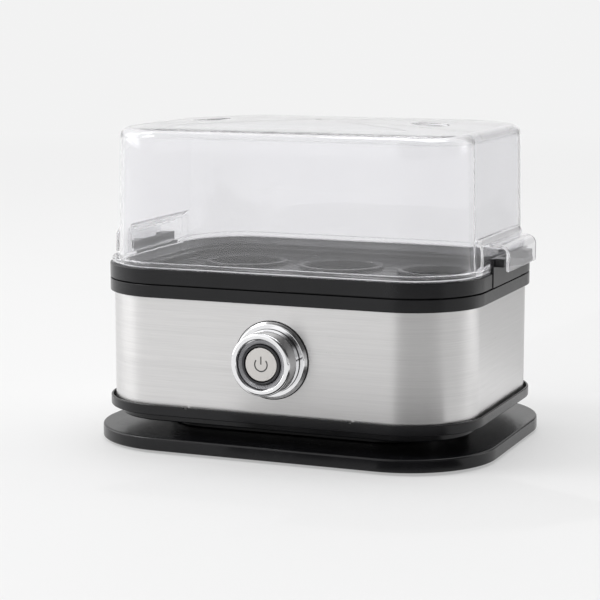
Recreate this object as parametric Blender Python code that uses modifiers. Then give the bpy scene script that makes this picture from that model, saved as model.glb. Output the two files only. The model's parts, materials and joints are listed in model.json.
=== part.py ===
"""Electric egg cooker for six eggs: base plate, steel-clad body, push button, egg tray and clear lid.

Metres, +Z up, the button faces -Y. The origin is under the middle of the whole object's box,
on the surface that it stands on.
"""

import math

import bmesh
import bpy
from mathutils import Vector

MM = 0.001
GAP = 0.3 * MM
TINY = 0.01 * MM
CORNER_STEPS = 5
TURN_STEPS = 24
PEG_STEPS = 10

# Outlines: half length along X, half width along Y, corner radius.
BODY = (84.0 * MM, 63.1 * MM, 31.7 * MM)
BASE = (88.95 * MM, 68.05 * MM, 39.4 * MM)
PEDESTAL = (62.0 * MM, 42.0 * MM, 24.0 * MM)

# Heights of the standing parts.
BASE_LOW, BASE_HIGH = 1.2 * MM, 6.8 * MM
BASE_SKIN = 2.4 * MM
PEDESTAL_LOW, PEDESTAL_HIGH = BASE_HIGH + GAP, 11.7 * MM
PEDESTAL_WALL = 2.5 * MM
TIER_LOW = 12.0 * MM
FLOOR_HIGH = 14.2 * MM
LIP_LOW, LIP_HIGH = 15.4 * MM, 19.8 * MM
SPIGOT_HIGH = 24.5 * MM
BAND_LOW, BAND_HIGH = 16.9 * MM, 67.3 * MM
BAND_STEP = 1.9 * MM
BAND_SKIN = 0.6 * MM
COLLAR_LOW, COLLAR_HIGH = 65.7 * MM, 71.0 * MM
COLLAR_STEP_HIGH = 71.3 * MM
SKIRT_LOW = 56.0 * MM
SHELF_LOW, SHELF_HIGH = 60.9 * MM, 62.9 * MM
SPIGOT_STEP = BAND_STEP + BAND_SKIN + GAP
SPIGOT_WALL = 2.0 * MM

# Water dish and its seal.
SEAL_HIGH = 64.3 * MM
DISH_LOW, DISH_SKIN = 56.6 * MM, 0.8 * MM
DISH_RIM_LOW = SEAL_HIGH + GAP
DISH_STEP = 14.2 * MM
DISH_RIM_STEP = 7.6 * MM
SHELF_STEP = 13.0 * MM

# Egg tray and lid.
TRAY_FLOOR_LOW, TRAY_FLOOR_HIGH = 68.4 * MM, 70.4 * MM
TRAY_RIM_LOW, TRAY_RIM_HIGH = 71.6 * MM, 77.85 * MM
TRAY_LEDGE = 73.6 * MM
TRAY_RIM_WALL = 3.4 * MM
TRAY_WELL_STEP, TRAY_WELL_WALL = 7.5 * MM, 2.0 * MM
EGG_PITCH_X, EGG_ROW_Y = 46.5 * MM, 24.5 * MM
EGG_HOLE_RADIUS, EGG_SEAT_RADIUS, EGG_SEAT_HEIGHT = 16.5 * MM, 19.2 * MM, 1.4 * MM
GRIP_HALF_Y, GRIP_HIGH = 21.0 * MM, 83.7 * MM
GRIP_IN_X, GRIP_OUT_X = 82.8 * MM, 84.6 * MM
TAB_IN_Y, TAB_OUT_Y, TAB_OUT_X, TAB_LOW = 12.6 * MM, 19.6 * MM, 88.3 * MM, 80.2 * MM
LID_LOW, LID_HIGH = 74.6 * MM, 138.2 * MM
LID_STEP, LID_SKIN, LID_DRAFT = 3.8 * MM, 1.8 * MM, 1.3 * MM
LID_FILLET = 3.4 * MM
LID_CROWN_X, LID_CROWN_Y = 2.4 * MM, 1.1 * MM
FLANGE_STEP, FLANGE_LOW, FLANGE_HIGH = 0.8 * MM, TRAY_RIM_HIGH + GAP, 80.1 * MM
POCKET_STEP, POCKET_HIGH, POCKET_HALF_Y = 1.6 * MM, 92.7 * MM, 31.2 * MM
POCKET_IN_X, POCKET_ROUND = 77.0 * MM, 2.6 * MM
ARCH_HALF_Y, ARCH_OUT_X, ARCH_LOW, ARCH_HIGH = 20.6 * MM, 90.9 * MM, 78.6 * MM, 89.9 * MM
ARCH_SKIN, ARCH_ROUND = 1.5 * MM, 4.0 * MM
VENT_MIDDLE_X, VENT_PITCH = -1.9 * MM, 51.0 * MM
VENT_RADIUS, VENT_PIN_RADIUS = 8.5 * MM, 1.5 * MM

# Fixings: places are (X, Y), the other three corners mirror them.
FOOT_PLACE, FOOT_RADIUS, FOOT_HIGH = (62.0 * MM, 42.0 * MM), 7.5 * MM, 1.8 * MM
BASE_SCREW_PLACE = (44.0 * MM, 27.0 * MM)
HOUSING_SCREW_PLACE = (68.3 * MM, 47.3 * MM)
CLAMP_SCREW_X = 75.0 * MM
POST_RADIUS = 3.2 * MM
SCREW_SHANK, SCREW_HOLE = 1.5 * MM, 1.85 * MM

# Heater under the dish.
ELEMENT_RADIUS, ELEMENT_TUBE, ELEMENT_Z = 30.0 * MM, 3.2 * MM, 53.0 * MM
CLAMP_LOW, CLAMP_HIGH = 47.9 * MM, 49.4 * MM
TERMINAL_SOCKETS = (2.5, 10.0, 17.5)
LEAD_RADIUS = 1.1 * MM

# Push button, measured outwards from the steel front face.
BUTTON_X, BUTTON_Z = 1.75 * MM, 42.5 * MM
BAND_FRONT_Y = -(BODY[1] - BAND_STEP)
BARREL_OUT = 12.5 * MM
BOARD_Y = -43.2 * MM
INLET_Z = 33.0 * MM

# The button stands further out than the base plate does, so the body's centre is set back.
CENTRE_Y = (BARREL_OUT - BAND_FRONT_Y - BASE[1]) / 2

BLACK = (0.028, 0.028, 0.031)


def clear_scene():
    for obj in list(bpy.data.objects):
        bpy.data.objects.remove(obj, do_unlink=True)


def new_collection(name):
    collection = bpy.data.collections.new(name)
    bpy.context.scene.collection.children.link(collection)
    return collection


def new_empty(name, at, parent=None):
    empty = bpy.data.objects.new(name, None)
    empty.location = at
    empty.parent = parent
    empty.empty_display_size = 10 * MM
    PARTS.objects.link(empty)
    return empty


def principled(name, color, roughness, metallic=0.0, transmission=0.0):
    material = bpy.data.materials.new(name)
    material.use_nodes = True
    shader = material.node_tree.nodes["Principled BSDF"]
    shader.inputs["Base Color"].default_value = (*color, 1.0)
    shader.inputs["Roughness"].default_value = roughness
    shader.inputs["Metallic"].default_value = metallic
    shader.inputs["Transmission Weight"].default_value = transmission
    material.diffuse_color = (*color, 1.0)
    return material


# Helpers: outlines and meshes.


def inset(outline, step):
    """The outline moved inwards by step on every side."""
    half_x, half_y, corner = outline
    return half_x - step, half_y - step, corner - step


def corners(place):
    """The four places that mirror one (X, Y) place about both centre planes."""
    x, y = place
    return [(x, y), (-x, y), (-x, -y), (x, -y)]


def box_mesh(low, high, bm=None):
    """A box between two corners, added to bm if one is given."""
    bm = bm or bmesh.new()
    made = bmesh.ops.create_cube(bm, size=1.0)["verts"]
    size = Vector(high) - Vector(low)
    bmesh.ops.scale(bm, vec=size, verts=made)
    bmesh.ops.translate(bm, vec=(Vector(low) + Vector(high)) / 2, verts=made)
    return bm


def end_boxes(low, high):
    """A box and its mirror image at the other end of the object."""
    bm = box_mesh(low, high)
    return box_mesh((-high[0], low[1], low[2]), (-low[0], high[1], high[2]), bm)


def block_mesh(outline, low, high):
    """A block with rounded vertical edges between two heights."""
    half_x, half_y, corner = outline
    bm = box_mesh((-half_x, -half_y, low), (half_x, half_y, high))
    upright = [e for e in bm.edges if abs(e.verts[0].co.z - e.verts[1].co.z) > TINY]
    round_edges(bm, upright, corner, CORNER_STEPS)
    return bm


def round_edges(bm, edges, radius, steps):
    bmesh.ops.bevel(
        bm,
        geom=edges,
        offset=radius,
        offset_type="OFFSET",
        segments=steps,
        profile=0.5,
        affect="EDGES",
        clamp_overlap=False,
    )


def edges_at(bm, level):
    return [e for e in bm.edges if all(abs(v.co.z - level) < TINY for v in e.verts)]


def pegs_mesh(radius, low, high, places, steps=PEG_STEPS):
    """Upright cylinders at the given places."""
    bm = bmesh.new()
    for x, y in places:
        made = bmesh.ops.create_cone(
            bm, cap_ends=True, segments=steps, radius1=radius, radius2=radius, depth=high - low
        )
        bmesh.ops.translate(bm, vec=(x, y, (low + high) / 2), verts=made["verts"])
    return bm


def smooth(mesh):
    mesh.shade_smooth()
    mesh.set_sharp_from_angle(angle=math.radians(35))


def new_part(name, bm, material, parent=None):
    """A named part from a bmesh, in the part collection."""
    mesh = bpy.data.meshes.new(name)
    bm.to_mesh(mesh)
    bm.free()
    smooth(mesh)
    mesh.materials.append(material)
    obj = bpy.data.objects.new(name, mesh)
    obj.parent = parent or FRAME
    PARTS.objects.link(obj)
    return obj


def new_cutter(name, bm, parent=None):
    mesh = bpy.data.meshes.new(name)
    bm.to_mesh(mesh)
    bm.free()
    obj = bpy.data.objects.new(name, mesh)
    obj.parent = parent or FRAME
    obj.hide_render = True
    obj.display_type = "WIRE"
    CUTTERS.objects.link(obj)
    return obj


def combine(target, helper, operation):
    modifier = target.modifiers.new(helper.name, "BOOLEAN")
    modifier.operation = operation
    modifier.object = helper
    modifier.solver = "EXACT"


def cut(target, name, bm):
    combine(target, new_cutter(f"{target.name}_{name}", bm, target.parent), "DIFFERENCE")


def join(target, name, bm):
    combine(target, new_cutter(f"{target.name}_{name}", bm, target.parent), "UNION")


def turned(name, profile, material, parent=None, steps=TURN_STEPS):
    """A turned part. The profile lists (radius, height) down its outer side; a ring's comes back up."""
    bm = bmesh.new()
    points = [bm.verts.new((radius, 0, height)) for radius, height in profile]
    pairs = list(zip(points, points[1:]))
    if profile[0][0] > 0:
        pairs.append((points[-1], points[0]))
    for pair in pairs:
        bm.edges.new(pair)
    obj = new_part(name, bm, material, parent)
    screw = obj.modifiers.new("turn", "SCREW")
    screw.steps = screw.render_steps = steps
    screw.use_merge_vertices = True
    screw.merge_threshold = 0.05 * MM
    screw.use_normal_calculate = False
    screw.use_smooth_shade = True
    return obj


def curve_through(points, per_span):
    """Points on a smooth curve through the given ones."""
    ends = [points[0], *points, points[-1]]
    found = []
    for a, b, c, d in zip(ends, ends[1:], ends[2:], ends[3:]):
        for i in range(per_span):
            t = i / per_span
            found.append(
                0.5
                * (
                    2 * b
                    + (c - a) * t
                    + (2 * a - 5 * b + 4 * c - d) * t * t
                    + (3 * b - a - 3 * c + d) * t**3
                )
            )
    return [*found, points[-1]]


def tube(name, points, radius, material, parent=None):
    """A round wire or tube along a line of points."""
    curve = bpy.data.curves.new(name, "CURVE")
    curve.dimensions = "3D"
    curve.bevel_depth = radius
    curve.bevel_resolution = 2
    curve.use_fill_caps = True
    spline = curve.splines.new("POLY")
    spline.points.add(len(points) - 1)
    for point, place in zip(spline.points, points):
        point.co = (*place, 1.0)
    curve.materials.append(material)
    obj = bpy.data.objects.new(name, curve)
    obj.parent = parent or FRAME
    PARTS.objects.link(obj)
    return obj


# Base.


def make_base_plate(black):
    """A wide tray turned upside down, with bosses for the feet and the screws."""
    bm = block_mesh(BASE, BASE_LOW, BASE_HIGH)
    round_edges(bm, edges_at(bm, BASE_HIGH), 0.8 * MM, 2)
    plate = new_part("base_plate", bm, black)
    hollow_high = BASE_HIGH - BASE_SKIN
    cut(plate, "hollow", block_mesh(inset(BASE, BASE_SKIN), 0, hollow_high))
    foot_bosses = pegs_mesh(FOOT_RADIUS + MM, FOOT_HIGH + GAP, hollow_high + MM, corners(FOOT_PLACE))
    join(plate, "foot_bosses", foot_bosses)
    places = corners(BASE_SCREW_PLACE)
    join(plate, "screw_bosses", pegs_mesh(6 * MM, 1.5 * MM, hollow_high + MM, places))
    cut(plate, "counterbores", pegs_mesh(4 * MM, 0, 3.9 * MM, places))
    cut(plate, "screw_holes", pegs_mesh(SCREW_HOLE, 3 * MM, 8 * MM, places))


def make_feet(rubber):
    profile = [(0, FOOT_HIGH), (FOOT_RADIUS, FOOT_HIGH), (FOOT_RADIUS, 0.4 * MM)]
    profile += [(FOOT_RADIUS - 0.4 * MM, 0), (0, 0)]
    for number, (x, y) in enumerate(corners(FOOT_PLACE), 1):
        foot = turned(f"foot_{number}", profile, rubber, steps=20)
        foot.location = (x, y, 0)


def make_pedestal(black):
    """The low neck under the body, round which the cord winds."""
    pedestal = new_part("pedestal", block_mesh(PEDESTAL, PEDESTAL_LOW, PEDESTAL_HIGH), black)
    hollow = block_mesh(inset(PEDESTAL, PEDESTAL_WALL), PEDESTAL_LOW - MM, PEDESTAL_HIGH - 1.8 * MM)
    cut(pedestal, "hollow", hollow)
    places = corners(BASE_SCREW_PLACE)
    join(pedestal, "bosses", pegs_mesh(5 * MM, PEDESTAL_LOW, PEDESTAL_HIGH - MM, places))
    cut(pedestal, "holes", pegs_mesh(SCREW_HOLE, PEDESTAL_LOW - MM, PEDESTAL_HIGH + MM, places))


def make_screw(name, place, head_low, head_high, tip, steel):
    """A pan-head screw that points up, with a blind cross recess in its head."""
    x, y = place
    profile = [(0, tip), (SCREW_SHANK * 0.6, tip), (SCREW_SHANK, tip - 1.5 * MM)]
    profile += [(SCREW_SHANK, head_high), (3.1 * MM, head_high), (3.1 * MM, head_low + 0.6 * MM)]
    profile += [(2.5 * MM, head_low), (0, head_low)]
    screw = turned(name, profile, steel, steps=12)
    screw.location = (x, y, 0)
    depth = head_low + 1.2 * MM
    recess = box_mesh((-1.9 * MM, -0.4 * MM, head_low - MM), (1.9 * MM, 0.4 * MM, depth))
    cross = new_cutter(f"{name}_slot", recess)
    cross.location = (x, y, 0)
    combine(screw, cross, "DIFFERENCE")


def make_screws(steel):
    for number, place in enumerate(corners(BASE_SCREW_PLACE), 1):
        make_screw(f"base_screw_{number}", place, 1.5 * MM, 3.6 * MM, 22 * MM, steel)
    for number, place in enumerate(corners(HOUSING_SCREW_PLACE), 1):
        make_screw(f"housing_screw_{number}", place, 13.4 * MM, 15.6 * MM, 42 * MM, steel)
    for number, side in enumerate((1, -1), 1):
        place = (side * CLAMP_SCREW_X, 0)
        make_screw(f"clamp_screw_{number}", place, 45.4 * MM, CLAMP_LOW - GAP, 58 * MM, steel)


# Body.


def make_lower_housing(black):
    """The floor pan: a stepped underside, a thin lip outside the steel and a spigot inside it."""
    bm = block_mesh(inset(BODY, -GAP), LIP_LOW, LIP_HIGH)
    round_edges(bm, edges_at(bm, LIP_HIGH), 0.4 * MM, 2)
    pan = new_part("lower_housing", bm, black)
    cut(pan, "groove", block_mesh(inset(BODY, 0.6 * MM), BAND_LOW - GAP, LIP_HIGH + MM))
    join(pan, "spigot", block_mesh(inset(BODY, SPIGOT_STEP), LIP_LOW + 0.1 * MM, SPIGOT_HIGH))
    join(pan, "tier", block_mesh(inset(BODY, 4.7 * MM), TIER_LOW, LIP_LOW + MM))
    cut(pan, "well", block_mesh(inset(BODY, 7 * MM), FLOOR_HIGH, LIP_HIGH))
    wide = inset(BODY, SPIGOT_STEP + SPIGOT_WALL)
    cut(pan, "inside", block_mesh(wide, 17.6 * MM, SPIGOT_HIGH + MM))
    base_places, housing_places = corners(BASE_SCREW_PLACE), corners(HOUSING_SCREW_PLACE)
    join(pan, "base_bosses", pegs_mesh(4.2 * MM, FLOOR_HIGH - MM, 24 * MM, base_places))
    join(pan, "tie_bosses", pegs_mesh(4.3 * MM, FLOOR_HIGH - MM, 29.7 * MM, housing_places))
    cut(pan, "base_bores", pegs_mesh(SCREW_HOLE, TIER_LOW - MM, 23 * MM, base_places))
    cut(pan, "tie_heads", pegs_mesh(3.5 * MM, TIER_LOW - MM, 15.9 * MM, housing_places))
    cut(pan, "tie_bores", pegs_mesh(SCREW_HOLE, 15 * MM, 31 * MM, housing_places))


def level_cylinder(radius, y_low, y_high, place, steps=TURN_STEPS):
    """A cylinder along Y, through the (X, Z) place."""
    bm = pegs_mesh(radius, y_low, y_high, [(0, 0)], steps)
    for vert in bm.verts:
        x, y, height = vert.co
        vert.co = (place[0] + x, height, place[1] - y)
    return bm


def make_steel_band(steel):
    """The wrapped steel skin of the body, with a hole for the button and one for the cord."""
    bm = block_mesh(inset(BODY, BAND_STEP), BAND_LOW, BAND_HIGH)
    caps = [f for f in bm.faces if abs(f.normal.z) > 0.9]
    bmesh.ops.delete(bm, geom=caps, context="FACES_ONLY")
    band = new_part("steel_band", bm, steel)
    skin = band.modifiers.new("skin", "SOLIDIFY")
    skin.thickness = BAND_SKIN
    skin.offset = -1
    skin.use_even_offset = True
    cut(band, "button_hole", level_cylinder(10 * MM, -70 * MM, -50 * MM, (BUTTON_X, BUTTON_Z)))
    cut(band, "cord_hole", level_cylinder(6.3 * MM, 50 * MM, 70 * MM, (0, INLET_Z)))


def make_collar(black):
    """The upper ring: it closes the steel, carries the dish on a shelf and seats the tray."""
    bm = block_mesh(BODY, COLLAR_LOW, COLLAR_HIGH)
    round_edges(bm, edges_at(bm, COLLAR_LOW), 0.4 * MM, 2)
    collar = new_part("collar", bm, black)
    groove = block_mesh(inset(BODY, BAND_STEP - GAP), COLLAR_LOW - MM, BAND_HIGH + GAP)
    cut(collar, "groove", groove)
    join(collar, "skirt", block_mesh(inset(BODY, SPIGOT_STEP), SKIRT_LOW, COLLAR_HIGH - MM))
    join(collar, "step", block_mesh(inset(BODY, 2.5 * MM), COLLAR_HIGH - MM, COLLAR_STEP_HIGH))
    wide = inset(BODY, SPIGOT_STEP + SPIGOT_WALL)
    cut(collar, "below", block_mesh(wide, SKIRT_LOW - MM, SHELF_LOW))
    cut(collar, "opening", block_mesh(inset(BODY, SHELF_STEP), SHELF_LOW - MM, SHELF_HIGH + MM))
    cut(collar, "well", block_mesh(inset(BODY, 6.8 * MM), SHELF_HIGH, COLLAR_STEP_HIGH + MM))
    clamps = [(CLAMP_SCREW_X, 0), (-CLAMP_SCREW_X, 0)]
    ties = corners(HOUSING_SCREW_PLACE)
    join(collar, "clamp_posts", pegs_mesh(POST_RADIUS, CLAMP_HIGH + GAP, SHELF_LOW + MM, clamps))
    join(collar, "tie_posts", pegs_mesh(POST_RADIUS, 30 * MM, SHELF_LOW + MM, ties))
    cut(collar, "clamp_bores", pegs_mesh(SCREW_HOLE, CLAMP_HIGH, 59.5 * MM, clamps))
    cut(collar, "tie_bores", pegs_mesh(SCREW_HOLE, 29 * MM, 44 * MM, ties))


def make_cord_inlet(black):
    """The bushing at the back through which the mains cord would pass."""
    flange, neck, bore = 8.5 * MM, 6 * MM, 3.7 * MM
    profile = [(bore, 2.3 * MM), (flange - 0.8 * MM, 2.3 * MM), (flange, 1.5 * MM), (flange, GAP)]
    profile += [(neck, GAP), (neck, -4.5 * MM), (bore, -4.5 * MM)]
    inlet = turned("cord_inlet", profile, black, steps=24)
    inlet.location = (0, -BAND_FRONT_Y, INLET_Z)
    inlet.rotation_euler = (math.radians(-90), 0, 0)


# Heater.


def make_plate_seal(silicone):
    low = SHELF_HIGH + GAP
    seal = new_part("plate_seal", block_mesh(inset(BODY, DISH_RIM_STEP), low, SEAL_HIGH), silicone)
    cut(seal, "middle", block_mesh(inset(BODY, 12 * MM), low - MM, SEAL_HIGH + MM))


def make_heating_plate(steel):
    """The shallow water dish with its flat rim."""
    rim_high = DISH_RIM_LOW + DISH_SKIN
    bm = block_mesh(inset(BODY, DISH_STEP), DISH_LOW, rim_high - TINY)
    round_edges(bm, edges_at(bm, DISH_LOW), 2 * MM, 2)
    dish = new_part("heating_plate", bm, steel)
    join(dish, "rim", block_mesh(inset(BODY, DISH_RIM_STEP), DISH_RIM_LOW, rim_high))
    bm = block_mesh(inset(BODY, DISH_STEP + DISH_SKIN), DISH_LOW + DISH_SKIN, rim_high + MM)
    round_edges(bm, edges_at(bm, DISH_LOW + DISH_SKIN), 1.2 * MM, 2)
    cut(dish, "bowl", bm)


def make_heating_element(dull_steel):
    """A ring of sheathed tube, open at the back, whose two ends turn down."""
    first, last, count = math.radians(120), math.radians(420), 26
    turns = [first + (last - first) * i / (count - 1) for i in range(count)]
    ring = [(ELEMENT_RADIUS * math.cos(a), ELEMENT_RADIUS * math.sin(a)) for a in turns]
    points = [Vector((x, y, ELEMENT_Z)) for x, y in ring]
    for end, place in ((0, points[0]), (len(points), points[-1])):
        out = place + Vector((math.copysign(-3 * MM, place.x), 4 * MM, -3 * MM))
        down = out + Vector((0, 0, -7 * MM))
        extra = [down, out] if end == 0 else [out, down]
        points = extra + points if end == 0 else points + extra
    tube("heating_element", points, ELEMENT_TUBE, dull_steel)


def make_clamp_bar(zinc):
    """The strip that presses the element up against the dish, with a round window in its middle."""
    half_x, half_y = 78 * MM, 7 * MM
    strip = box_mesh((-half_x, -half_y, CLAMP_LOW), (half_x, half_y, CLAMP_HIGH))
    bar = new_part("clamp_bar", strip, zinc)
    join(bar, "disc", pegs_mesh(14 * MM, CLAMP_LOW, CLAMP_HIGH, [(0, 0)], TURN_STEPS))
    cut(bar, "window", pegs_mesh(8.5 * MM, CLAMP_LOW - MM, CLAMP_HIGH + MM, [(0, 0)], 20))
    ends = [(CLAMP_SCREW_X, 0), (-CLAMP_SCREW_X, 0)]
    cut(bar, "holes", pegs_mesh(SCREW_HOLE, CLAMP_LOW - MM, CLAMP_HIGH + MM, ends))


def make_thermostat(steel, ceramic):
    """A snap-disc thermostat under the middle of the dish, and a thermal fuse beside it."""
    top = DISH_LOW - GAP
    profile = [(0, top), (7.9 * MM, top), (7.9 * MM, 52 * MM), (6.5 * MM, 52 * MM)]
    profile += [(6.5 * MM, 43.5 * MM), (0, 43.5 * MM)]
    turned("thermostat", profile, steel, steps=24)
    place = (52 * MM, CLAMP_HIGH + GAP + 2.1 * MM)
    new_part("thermal_fuse", level_cylinder(2.1 * MM, -6 * MM, 6 * MM, place, PEG_STEPS), ceramic)


def make_terminal_block(ceramic):
    low, high = (-2 * MM, 35 * MM, FLOOR_HIGH + GAP), (22 * MM, 49 * MM, 26 * MM)
    block = new_part("terminal_block", box_mesh(low, high), ceramic)
    sockets = [(x * MM, 42 * MM) for x in TERMINAL_SOCKETS]
    cut(block, "sockets", pegs_mesh(2.2 * MM, 18 * MM, 27 * MM, sockets))


def make_leads(silicone):
    """Insulated leads from the element's ends and from the switch to the terminal block."""
    ends = (ELEMENT_RADIUS / 2 + 3 * MM, ELEMENT_RADIUS * math.sin(math.radians(60)) + 4 * MM)
    start_z, block_y, above, into = 41.6 * MM, 42 * MM, 28 * MM, 20 * MM
    sockets = [x * MM for x in TERMINAL_SOCKETS]
    routes = {
        "lead_right": [
            (ends[0], ends[1], start_z),
            (19 * MM, 34 * MM, 34 * MM),
            (sockets[2], block_y, above),
        ],
        "lead_left": [
            (-ends[0], ends[1], start_z),
            (-14 * MM, 36 * MM, 34 * MM),
            (-4 * MM, 40.5 * MM, 32 * MM),
            (sockets[0], block_y, above),
        ],
        "lead_switch": [
            (22 * MM, -37 * MM, 40 * MM),
            (21 * MM, -30 * MM, 36 * MM),
            (16 * MM, -6 * MM, 30 * MM),
            (10.5 * MM, 30 * MM, 31.5 * MM),
            (sockets[1], block_y, above),
        ],
    }
    for name, route in routes.items():
        last_x = route[-1][0]
        route.append((last_x, block_y, into))
        tube(name, curve_through([Vector(place) for place in route], 4), LEAD_RADIUS, silicone)


# Button.


def make_button_trim(chrome, light, dark):
    """Rings round the cap, from the outside in: escutcheon, barrel, light ring and dark sleeve."""
    face = {}
    face["button_escutcheon"] = (
        chrome,
        [(8.6, 2.3), (15.2, 2.3), (15.85, 2.0), (16.15, 1.4), (16.15, 0.3)]
        + [(9.7, 0.3), (9.7, -7), (8.6, -7)],
    )
    face["button_barrel"] = (
        chrome,
        [(10.5, 12.1), (11.0, 12.5), (12.2, 12.5), (13.0, 12.1), (13.4, 11.3)]
        + [(13.4, 2.6), (8.6, 2.6), (8.6, 8.6), (10.5, 8.6)],
    )
    face["light_ring"] = (light, [(8.6, 10.6), (10.2, 11.3), (10.2, 8.9), (8.6, 8.9)])
    face["button_sleeve"] = (
        dark,
        [(7.4, 11.5), (8.3, 11.5), (8.3, -6.5), (3.0, -6.5), (3.0, -5.2), (7.4, -5.2)],
    )
    for name, (material, profile) in face.items():
        turned(name, [(r * MM, h * MM) for r, h in profile], material, BUTTON_HOME)


def make_button_nut(steel):
    """The hexagonal nut that holds the escutcheon from inside."""
    low, high = -4.4 * MM, -(BAND_SKIN + GAP)
    nut = new_part("button_nut", pegs_mesh(13.4 * MM, low, high, [(0, 0)], 6), steel, BUTTON_HOME)
    cut(nut, "bore", pegs_mesh(10 * MM, low - MM, high + MM, [(0, 0)], 24))


def make_button_cap(satin):
    """The pressed cap with its long stem."""
    profile = [(0, 11.2), (6.65, 11.2), (7.1, 10.8), (7.1, 7.6), (2.4, 7.6), (2.4, -13.8), (0, -13.8)]
    turned("button_cap", [(r * MM, h * MM) for r, h in profile], satin, BUTTON_AXIS, 24)


def make_return_spring(steel):
    """A coil round the stem, between the sleeve's flange and the cap."""
    low, high, radius, wire = -4.5 * MM, 6.8 * MM, 4.6 * MM, 0.35 * MM
    turns, per_turn = 4, 9
    steps = turns * per_turn
    points = []
    for i in range(steps + 1):
        angle = 2 * math.pi * i / per_turn
        height = low + (high - low) * i / steps
        points.append(Vector((radius * math.cos(angle), radius * math.sin(angle), height)))
    tube("return_spring", points, wire, steel, BUTTON_HOME)


def make_switch(dark, board_green, zinc):
    """The switch behind the cap, its circuit board and the bracket that holds the board up."""
    half, front = 6 * MM, BOARD_Y - 7.3 * MM
    low, high = (BUTTON_X - half, front, BUTTON_Z - half), (BUTTON_X + half, BOARD_Y - GAP, BUTTON_Z + half)
    body = box_mesh(low, high)
    switch = new_part("switch_body", body, dark)
    cut(switch, "bore", level_cylinder(2.9 * MM, front - MM, front + 5.9 * MM, (BUTTON_X, BUTTON_Z), 16))
    thick = 1.6 * MM
    low, high = (-24 * MM, BOARD_Y, 29 * MM), (24 * MM, BOARD_Y + thick, 55 * MM)
    new_part("control_board", box_mesh(low, high), board_green)
    back = BOARD_Y + thick + GAP
    low, high = (-18 * MM, back, FLOOR_HIGH + GAP), (18 * MM, back + 1.5 * MM, 50 * MM)
    bracket = new_part("board_bracket", box_mesh(low, high), zinc)
    foot_high = (18 * MM, back + 14 * MM, FLOOR_HIGH + GAP + 1.5 * MM)
    join(bracket, "foot", box_mesh((-18 * MM, back + MM, FLOOR_HIGH + GAP), foot_high))


# Tray and lid.


def make_egg_tray(black):
    """The lift-out tray: a rim flush with the body, a well with six egg seats, a grip at each end."""
    bm = block_mesh(BODY, TRAY_RIM_LOW, TRAY_RIM_HIGH)
    round_edges(bm, edges_at(bm, TRAY_RIM_HIGH), 0.5 * MM, 2)
    tray = new_part("egg_tray", bm, black, TRAY_LIFT)
    rim_inside = block_mesh(inset(BODY, TRAY_RIM_WALL), TRAY_LEDGE, TRAY_RIM_HIGH + MM)
    cut(tray, "rim_inside", rim_inside)
    join(tray, "well", block_mesh(inset(BODY, TRAY_WELL_STEP), TRAY_FLOOR_LOW, TRAY_LEDGE - 0.5 * MM))
    inside = inset(BODY, TRAY_WELL_STEP + TRAY_WELL_WALL)
    cut(tray, "well_inside", block_mesh(inside, TRAY_FLOOR_HIGH, TRAY_LEDGE + MM))
    eggs = [(column * EGG_PITCH_X, row * EGG_ROW_Y) for column in (-1, 0, 1) for row in (-1, 1)]
    seat_high = TRAY_FLOOR_HIGH + EGG_SEAT_HEIGHT
    join(tray, "seats", pegs_mesh(EGG_SEAT_RADIUS, TRAY_FLOOR_HIGH - MM, seat_high, eggs, 24))
    cut(tray, "egg_holes", pegs_mesh(EGG_HOLE_RADIUS, TRAY_FLOOR_LOW - MM, seat_high + MM, eggs, 24))
    low_block = end_boxes(
        (GRIP_OUT_X - TRAY_RIM_WALL, -GRIP_HALF_Y, TRAY_RIM_LOW), (GRIP_OUT_X, GRIP_HALF_Y, TRAY_RIM_HIGH)
    )
    join(tray, "grip_feet", low_block)
    tall_low = (GRIP_IN_X, -GRIP_HALF_Y, TRAY_LEDGE)
    join(tray, "grips", end_boxes(tall_low, (GRIP_OUT_X, GRIP_HALF_Y, GRIP_HIGH)))
    for name, near_y, far_y in (("back_tabs", TAB_IN_Y, TAB_OUT_Y), ("front_tabs", -TAB_OUT_Y, -TAB_IN_Y)):
        join(tray, name, end_boxes((GRIP_OUT_X - MM, near_y, TAB_LOW), (TAB_OUT_X, far_y, GRIP_HIGH)))


def crown(x, y):
    """How far the lid's top drops at (x, y) below its middle."""
    half_x, half_y, _ = inset(BODY, LID_STEP)
    return LID_CROWN_X * (x / half_x) ** 2 + LID_CROWN_Y * (y / half_y) ** 2


def lid_surface():
    """The lid's outer surface, open below: drafted walls, a rounded top edge and a crowned top."""
    wall = inset(BODY, LID_STEP)
    bm = block_mesh(wall, LID_LOW, LID_HIGH)
    for vert in bm.verts:
        if vert.co.z > LID_HIGH - TINY:
            vert.co.x *= 1 - LID_DRAFT / wall[0]
            vert.co.y *= 1 - LID_DRAFT / wall[1]
    bottom = [f for f in bm.faces if all(v.co.z < LID_LOW + TINY for v in f.verts)]
    bmesh.ops.delete(bm, geom=bottom, context="FACES_ONLY")
    round_edges(bm, edges_at(bm, LID_HIGH), LID_FILLET, 3)
    for width in (12 * MM, 9 * MM):
        top = [max(bm.faces, key=lambda f: f.calc_center_median().z + f.calc_area())]
        bmesh.ops.inset_region(bm, faces=top, thickness=width, use_even_offset=True)
    top = [max(bm.faces, key=lambda f: f.calc_center_median().z + f.calc_area())]
    bmesh.ops.poke(bm, faces=top)
    for vert in bm.verts:
        if vert.co.z > LID_HIGH - 1.5 * LID_FILLET:
            vert.co.z -= crown(vert.co.x, vert.co.y)
    return bm


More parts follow.
